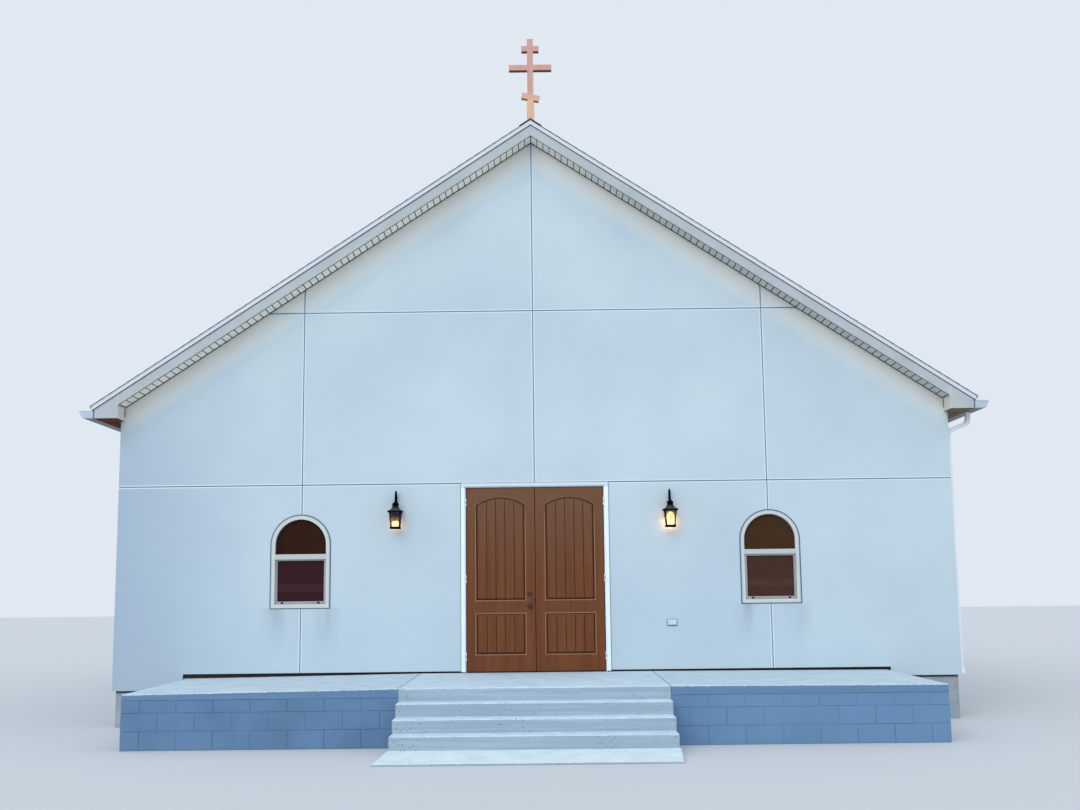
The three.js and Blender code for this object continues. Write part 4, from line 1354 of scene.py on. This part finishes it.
@dataclass
class Doorway:
    """The white frame and the pair of panelled doors that open outwards."""

    meeting: float = 0.004
    panel_half: float = 0.328
    low_panel: tuple[float, float] = (0.232, 0.758)
    high_panel: tuple[float, float] = (0.936, 2.296)
    rise: float = 0.107
    arc_steps: int = 20
    lap: float = 0.01
    foot_lap: float = 0.015
    bead: float = 0.016
    bead_height: float = 0.0095
    groove: float = 0.009
    slope: float = 0.008
    plank_gap: float = 0.0055
    plank_height: float = 0.0035
    planks: int = 5
    rounding: float = 0.002
    foot_ends: tuple[float, float] = (0.934, 0.9835)
    lock_x: float = -0.075
    knob_z: float = 1.513
    bolt_z: float = 1.67
    keyhole: tuple[float, float] = (0.0012, 0.005)
    guard_ends: tuple[float, float] = (-0.034, -0.006)
    guard_z: float = 1.58
    guard_half: float = 0.035
    guard_depth: float = 0.004
    screw: float = 0.022

    def build(self) -> None:
        """Build the frame, both leaves and the lock."""
        proud = (0.004, 2, lambda middle: middle.y < LEAF_FRONT - 0.01)
        recut("door_frame", "door_casing", Finishes.CASING, "white_frame", proud)
        feet = Shape()
        for _, sign in SIDES:
            near, far = (sign * end for end in self.foot_ends)
            low = (near, LEAF_FRONT - 0.0225, FLOOR + 0.002)
            feet.block(low, (far, LEAF_FRONT - 0.01, FLOOR + 0.014))
        feet.piece("door_casing_feet", Finishes.DARK_JOINT_AND_SHADE)
        dress(Finishes.BRONZE, "door_threshold")
        for name, sign in SIDES:
            self.leaf(name, sign)
        self.lock()

    def outline(self, centre: float, band: tuple[float, float], rise: float, y: float) -> list[Vector]:
        """The outline of a panel and of the bead that laps it, with a flat arch on top if it rises.

        Args:
            centre: The panel's middle along X.
            band: Its foot and top, above the foot of the leaf.
            rise: How far the arch rises.
            y: The face that it lies on.

        Returns:
            The corners.
        """
        foot, top = LEAF_FOOT + band[0] - self.foot_lap, LEAF_FOOT + band[1] + self.lap
        half = self.panel_half + self.lap
        corners = [Vector((centre - half, y, foot)), Vector((centre + half, y, foot))]
        if not rise:
            return [*corners, Vector((centre + half, y, top)), Vector((centre - half, y, top))]
        radius = (half**2 + rise**2) / (2 * rise)
        swing = math.asin(half / radius)
        for i in range(self.arc_steps + 1):
            angle = swing * (1 - 2 * i / self.arc_steps)
            height = top - radius + radius * math.cos(angle)
            corners.append(Vector((centre + radius * math.sin(angle), y, height)))
        return corners

    def raised(self, shape: Shape, faces: list[bmesh.types.BMFace], out: float) -> None:
        """Raise faces off the panel's floor and soften the edges of their tops.

        Args:
            shape: The shape that holds the faces.
            faces: The faces.
            out: How far they rise, along Y.
        """
        _, tops = shape.extruded(faces, (0, out, 0))
        rims = {edge for face in tops for edge in face.edges if not set(edge.link_faces) <= tops}
        shape.rounded(rims, self.rounding, 3)

    def panel(self, shape: Shape, corners: list[Vector], out: float) -> None:
        """Fill a sunk panel with its bead, its groove and its planks.

        Args:
            shape: The shape that gets them.
            corners: The panel's outline on its floor.
            out: 1 where the leaf faces +Y there, or else -1.
        """
        mesh = shape.mesh
        face = mesh.faces.new([mesh.verts.new(corner) for corner in corners])
        face.normal_update()
        if face.normal.y * out < 0:
            face.normal_flip()
        inset = partial(
            bmesh.ops.inset_region, mesh, faces=[face], use_boundary=True, use_even_offset=True
        )
        bead = inset(thickness=self.bead, depth=0)["faces"]
        inset(thickness=self.groove, depth=0)
        inset(thickness=self.slope, depth=PANEL_SUNK - PLANK_SUNK)
        xs = [vert.co.x for vert in face.verts]
        width = (max(xs) - min(xs)) / self.planks
        field = [face]
        for i in range(1, self.planks):
            at = Vector((min(xs) + i * width, 0, 0))
            cut = [*field, *{e for f in field for e in f.edges}, *{v for f in field for v in f.verts}]
            made = bmesh.ops.bisect_plane(mesh, geom=cut, plane_co=at, plane_no=(1, 0, 0))["geom"]
            field = [item for item in made if isinstance(item, bmesh.types.BMFace)]
        bmesh.ops.inset_individual(mesh, faces=field, thickness=self.plank_gap, depth=0)
        self.raised(shape, bead, out * self.bead_height)
        for plank in field:
            self.raised(shape, [plank], out * self.plank_height)

    def leaf(self, name: str, sign: int) -> None:
        """Dress one leaf and fill its panels on both faces.

        Args:
            name: The side's name.
            sign: Which side of the meeting line it is on.
        """
        dress(Finishes.DOOR, f"door_leaf_{name}")
        shape = Shape()
        centre = sign * (self.meeting + LEAF_OUTER) / 2
        for face, inward in LEAF_FACES:
            y = face + inward * PANEL_SUNK
            self.panel(shape, self.outline(centre, self.low_panel, 0.0, y), -inward)
            self.panel(shape, self.outline(centre, self.high_panel, self.rise, y), -inward)
        shape.piece(f"door_{name}_panelling", Finishes.DOOR, f"{name}_leaf", smooth=8.0)

    def lock(self) -> None:
        """Turn the knob and the bolt on both faces, and add the guard beside them."""
        knob = [
            (0, 0.062), (0.018, 0.061), (0.026, 0.054), (0.0285, 0.046), (0.026, 0.039), (0.016, 0.031),
            (0.0125, 0.022), (0.014, 0.011), (0.03, 0.008), (0.0335, 0.004), (0.034, 0), (0.0267, 0),
        ]
        bolt = [
            (0, 0.012), (0.017, 0.012), (0.018, 0.0165), (0.0215, 0.0165), (0.024, 0.013), (0.03, 0.009),
            (0.032, 0), (0.0267, 0),
        ]
        for name, z, key, profile in (
            ("door_knob", self.knob_z, 0.062, knob),
            ("door_deadbolt", self.bolt_z, 0.0125, bolt),
        ):
            shape = Shape()
            front = [(radius, -out) for radius, out in profile]
            rear = [(radius, LEAF_BACK - LEAF_FRONT + out) for radius, out in reversed(profile)]
            shape.turned([*front, *rear], (self.lock_x, LEAF_FRONT, z), (0, 1, 0), 32)
            wide, tall = self.keyhole
            low = (self.lock_x - wide, LEAF_FRONT - key - 0.0008, z - tall)
            shape.block(low, (self.lock_x + wide, LEAF_FRONT - key + 0.004, z + tall))
            shape.piece(f"{name}_set", Finishes.BRONZE, "left_leaf", [name], smooth=30.0)
        guard = Shape()
        near, far = self.guard_ends
        face = LEAF_FRONT - self.guard_depth
        low = (near, face, self.guard_z - self.guard_half)
        guard.block(low, (far, LEAF_FRONT + 0.0005, self.guard_z + self.guard_half), 0.0015)
        head = [(0, 0.0018), (0.003, 0.0012), (0.0045, 0)]
        for z in (self.guard_z - self.screw, self.guard_z + self.screw):
            guard.turned(head, ((near + far) / 2, face, z), (0, -1, 0), 12)
        guard.piece("door_latch_guard", Finishes.BRONZE, "left_leaf")


@dataclass
class Windows:
    """Round-headed windows, each with a fixed light over a sash that slides up."""

    face: float = 0.012
    rounding: float = 0.014
    latch_x: float = 0.242
    latch_z: float = 1.588
    latch: tuple[float, float] = (0.015, 0.01)

    def build(self) -> None:
        """Build the front windows and dress the side ones."""
        for name, sign in SIDES:
            self.front(f"front_window_{name}", sign)
            self.side(f"{name}_window", sign)

    def front(self, part: str, sign: int) -> None:
        """Round the frame and the sash of a front window, and add its latches.

        Args:
            part: What its nodes' names begin with.
            sign: Which side of the door it is on.
        """
        outer = WALL_FRONT - self.face + 0.003
        rim = (self.rounding, 3, lambda middle: middle.y < outer)
        recut(f"{part}_frame", f"{part}_surround", Finishes.VINYL, "white_frame", rim)
        proud = (0.003, 2, lambda middle: middle.y < WALL_FRONT + 0.022)
        recut(f"{part}_sash", f"{part}_slider", Finishes.SHADED_SASH, "white_frame", proud)
        latches = Shape()
        for side in ENDS:
            x = sign * WINDOW_X + side * self.latch_x
            wide, tall = self.latch
            low = (x - wide, WALL_FRONT + 0.008, self.latch_z - tall)
            latches.block(low, (x + wide, WALL_FRONT + 0.02, self.latch_z + tall), 0.002)
        latches.piece(f"{part}_latches", Finishes.BLACK)
        dress(Finishes.PANE, f"{part}_glass")

    def side(self, part: str, sign: int) -> None:
        """Round the frames of the windows in a side wall.

        Args:
            part: What their nodes' names begin with.
            sign: Which side of the hall it is on.
        """
        outer = WALL_HALF + self.face - 0.003
        rim = (self.rounding, 3, lambda middle: sign * middle.x > outer)
        for place in ("front", "middle", "back"):
            frame_name = f"{part}_{place}"
            recut(frame_name, f"{frame_name}_surround", Finishes.VINYL, "white_frame", rim)
        dress(Finishes.PANE, f"{part}_glass")


@dataclass
class Lantern:
    """A four-sided wall lantern on a bent arm, with a bulb that is lit.

    Attributes:
        name: The side's name.
        x: Where it hangs along the front.
        foot: The height of its foot.
        glow_top: The top of the bulb, above the foot.
        glow_half: Half the bulb's width.
        glass: The finish of its panes.
        halo: The power of the light that it throws on the wall.
        out: How far its axis is from the wall.
        arm: The radius of the arm.
        post: The radius of the cage's posts.
        scroll: The radius of the scrolls beside the cage.
        wall: How thick the panes are.
        sleeve: The height of the sleeve's top.
        cage: Half the cage's width, at its foot and its top.
        cage_heights: Where those are above the foot.
    """

    name: str
    x: float
    foot: float
    glow_top: float
    glow_half: float
    glass: Finishes
    halo: float
    out: float = 0.13
    arm: float = 0.012
    post: float = 0.007
    scroll: float = 0.0032
    wall: float = 0.002
    sleeve: float = 0.034
    cage: tuple[float, float] = (0.06, 0.08)
    cage_heights: tuple[float, float] = (0.026, 0.222)

    def centre(self, up: float = 0.0) -> Vector:
        """A point on the lantern's own axis, at a height above its foot."""
        return Vector((self.x, WALL_FRONT - self.out, self.foot + up))

    def build(self) -> None:
        """Build the metalwork, the panes and the bulb."""
        shape = Shape()
        self.body(shape)
        self.bracket(shape)
        part = f"lantern_{self.name}"
        shape.piece(f"{part}_metalwork", Finishes.BLACK, replaces=[part])
        self.glazing()
        self.bulb()

    def body(self, shape: Shape) -> None:
        """Add the base, the cage, the roof and the scrolls beside it.

        Args:
            shape: The shape that gets them.
        """
        base = [(0.05, 0.0), (0.066, 0.003), (0.069, 0.008), (0.069, 0.02), (0.064, 0.028), (0.02, 0.03)]
        rim = [(0.08, 0.218), (0.094, 0.219), (0.097, 0.223), (0.097, 0.237), (0.092, 0.241), (0.08, 0.242)]
        roof = [
            (0.09, 0.238), (0.076, 0.246), (0.062, 0.256), (0.05, 0.27), (0.041, 0.286), (0.036, 0.302),
            (0.034, 0.314),
        ]
        for profile in (base, rim, roof):
            shape.squared(profile, self.centre())
        cap = [
            (0, 0.3), (0.034, 0.306), (0.043, 0.316), (0.047, 0.325), (0.045, 0.334), (0.036, 0.342),
            (0.025, 0.351), (0.017, 0.362), (0.0135, 0.378), (0, 0.378),
        ]
        shape.turned(cap, self.centre(), (0, 0, 1), 16)
        for u, v in CORNERS:
            line = [
                self.centre(up) + Vector((u, v, 0)) * (half - self.post)
                for half, up in zip(self.cage, self.cage_heights)
            ]
            shape.swept(ring(self.post, 8), bent_frames(line, Vector((v, -u, 0)).normalized()))
        for lean in ENDS:
            low = self.centre(0.1) + Vector((0.01 * lean, -0.055, 0))
            high = self.centre(0.218) + Vector((-0.05 * lean, -0.066, 0))
            way = (high - low).normalized()
            shape.swept(ring(self.scroll, 6), bent_frames([low, high], way.orthogonal().normalized()))

    def bracket(self, shape: Shape) -> None:
        """Add the bent arm and the stepped plate on the wall.

        Args:
            shape: The shape that gets them.
        """
        places = [
            (0.016, 0.222), (0.018, 0.37), (0.03, 0.465), (0.07, 0.508), (0.112, 0.47), (self.out, 0.41),
            (self.out, 0.36),
        ]
        line = [Vector((self.x, WALL_FRONT - out, self.foot + up)) for out, up in places]
        shape.swept(ring(self.arm, 12), bent_frames(eased(line, 0.03), Vector((1, 0, 0))))
        for half, low, high, out in ((0.05, 0.052, 0.252, 0.012), (0.038, 0.066, 0.238, 0.021)):
            corner = (self.x - half, WALL_FRONT - out, self.foot + low)
            shape.block(corner, (self.x + half, WALL_FRONT - 0.0003, self.foot + high), 0.003)

    def glazing(self) -> None:
        """Add the tapered panes inside the cage."""
        shape = Shape()
        low, high = (half - self.post for half in self.cage)
        foot, top = self.cage_heights
        inner = [(high - self.wall, top), (low - self.wall, foot)]
        pane = [(low, foot), (high, top), *inner, (low, foot)]
        shape.squared(pane, self.centre())
        shape.piece(f"lantern_{self.name}_panes", self.glass)

    def bulb(self) -> None:
        """Add the short sleeve and the frosted bulb that stands on it."""
        sleeve = Shape()
        collar = [(0, 0.027), (0.02, 0.027), (0.02, 0.034), (0.016, 0.037), (0, 0.037)]
        sleeve.turned(collar, self.centre(), (0, 0, 1), 20)
        sleeve.piece(f"lantern_{self.name}_sleeve", Finishes.SLEEVE)
        shape = Shape()
        outline = [(0.6, 0.0), (0.92, 0.04), (0.98, 0.2), (1.0, 0.5), (0.97, 0.72), (0.8, 0.9), (0.45, 0.99)]
        tall = self.glow_top - self.sleeve
        swell = [(self.glow_half * r, self.sleeve + tall * up) for r, up in outline]
        shape.turned([(0, self.sleeve), *swell, (0, self.glow_top)], self.centre(), (0, 0, 1), 20)
        shape.piece(f"lantern_{self.name}_bulb", Finishes.BULB)


@dataclass
class OutletCover:
    """A weatherproof outlet box with two hinged flaps."""

    x: float = 1.797
    z: float = 1.276
    half: tuple[float, float] = (0.065, 0.042)
    margin: tuple[float, float] = (0.005, 0.004)
    depth: float = 0.03
    gasket: float = 0.017
    flap: float = 0.014
    split_gap: float = 0.0015

    def build(self) -> None:
        """Build the gasket, the box and its flaps."""
        face = WALL_FRONT - self.depth
        wide, tall = self.half
        gasket = Shape()
        low = (self.x - wide, face + self.gasket, self.z - tall)
        gasket.block(low, (self.x + wide, WALL_FRONT - 0.0003, self.z + tall), 0.002, 2)
        gasket.piece("outlet_gasket", Finishes.DARK_JOINT_AND_SHADE)
        wide, tall = (whole - rim for whole, rim in zip(self.half, self.margin))
        shape = Shape()
        low = (self.x - wide, face + 0.012, self.z - tall + 0.004)
        shape.block(low, (self.x + wide, face + 0.02, self.z + tall), 0.003, 3)
        split = self.x - wide / 2
        for near, far in (
            (self.x - wide + 0.004, split - self.split_gap),
            (split + self.split_gap, self.x + wide - 0.004),
        ):
            low = (near, face, self.z - tall + 0.01)
            shape.block(low, (far, face + self.flap, self.z + tall - 0.006), 0.004, 3)
        shape.piece("outlet_cover", Finishes.PLASTIC, replaces=["outlet_box"])


@dataclass
class RidgeCross:
    """The three-barred cross that stands on the ridge."""

    rounding: float = 0.006

    def build(self) -> None:
        """Round the edges of the cross."""
        above = (self.rounding, 2, lambda middle: middle.z > SHINGLE_APEX + 0.03, 60.0)
        recut("roof_cross", "cross_timbers", Finishes.CROSS, "cross_wood", above)


@dataclass
class Studio:
    """The camera where the photograph was taken, a pale floor and soft light."""

    lens: float = 43.333
    place: tuple[float, float, float] = (0.1637, -23.1324, 1.7273)
    yaw: float = 0.0044
    pitch: float = 0.1409
    roll: float = -0.0114
    sky: str = "#e9f1fb"
    sky_strength: float = 0.92
    sun: str = "#fbfcff"
    sun_strength: float = 1.18
    sun_angles: tuple[float, float, float] = (58, -10, -12)
    sun_width: float = 50
    halo: str = "#ffb98a"
    halo_out: float = 0.05
    halo_up: float = 0.07
    floor_colour: str = "#cfd3d6"
    floor_size: float = 160.0

    def camera(self) -> None:
        """Stand the camera where the photograph was taken."""
        data = bpy.data.cameras.new("camera")
        data.sensor_width = 36.0
        data.lens = self.lens
        data.clip_end = 300.0
        made = placed("camera", data)
        turns = ((self.yaw, "Z"), (math.pi / 2 + self.pitch, "X"), (self.roll, "Z"))
        parts = [Matrix.Rotation(angle, 4, axis) for angle, axis in turns]
        made.matrix_world = reduce(Matrix.__matmul__, parts, Matrix.Translation(self.place))
        bpy.context.scene.camera = made

    def light(self) -> None:
        """Light the building from a pale sky and one broad lamp."""
        world = bpy.data.worlds.new("sky")
        bpy.context.scene.world = world
        world.use_nodes = True
        back = world.node_tree.nodes["Background"]
        back.inputs[0].default_value = linear(self.sky)
        back.inputs[1].default_value = self.sky_strength
        lamp = bpy.data.lights.new("broad_lamp", "SUN")
        lamp.energy = self.sun_strength
        lamp.angle = math.radians(self.sun_width)
        lamp.color = linear(self.sun)[:3]
        placed("broad_lamp", lamp).rotation_euler = [math.radians(angle) for angle in self.sun_angles]
        bpy.context.scene.view_settings.view_transform = "Standard"

    def lamp_glow(self, lantern: Lantern) -> None:
        """Put a small warm light behind a lantern, for the halo of its bulb on the wall.

        Args:
            lantern: The lantern.
        """
        name = f"glow_{lantern.name}"
        glow = bpy.data.lights.new(name, "POINT")
        glow.energy = lantern.halo
        glow.color = linear(self.halo)[:3]
        glow.shadow_soft_size = 0.03
        place = (lantern.x, WALL_FRONT - self.halo_out, lantern.foot + self.halo_up)
        placed(name, glow).location = place

    def floor(self) -> None:
        """Lay a plain pale floor under the building."""
        mesh = bmesh.new()
        bmesh.ops.create_grid(mesh, x_segments=1, y_segments=1, size=self.floor_size / 2)
        data = bpy.data.meshes.new("studio_floor")
        mesh.to_mesh(data)
        mesh.free()
        plain = bpy.data.materials.new("studio floor")
        plain.use_nodes = True
        shader = plain.node_tree.nodes["Principled BSDF"]
        shader.inputs["Base Color"].default_value = linear(self.floor_colour)
        shader.inputs["Roughness"].default_value = 0.9
        data.materials.append(plain)
        made = placed("studio_floor", data)
        made.location.z = -0.001


def main() -> None:
    """Build every sub-assembly in order."""
    logging.basicConfig(level=logging.INFO, format="%(name)s: %(message)s")
    studio = Studio()
    studio.camera()
    studio.floor()
    studio.light()
    Walls().build()
    Roof().build()
    GableEnds().build()
    # The left lining is drawn in painted shade, the right one in painted light
    Eave("left", -1, Finishes.SHADED_LINING, 9.353).build()
    Eave("right", 1, Finishes.LIT_LINING, -5.607).build()
    Porch().build()
    Doorway().build()
    Windows().build()
    for lantern in (
        Lantern("left", -1.845, 2.54, 0.108, 0.046, Finishes.SOOTY_GLASS, 0.5),
        Lantern("right", 1.797, 2.524, 0.205, 0.05, Finishes.WARM_GLASS, 1.0),
    ):
        lantern.build()
        studio.lamp_glow(lantern)
    OutletCover().build()
    RidgeCross().build()


if __name__ == "__main__":
    main()
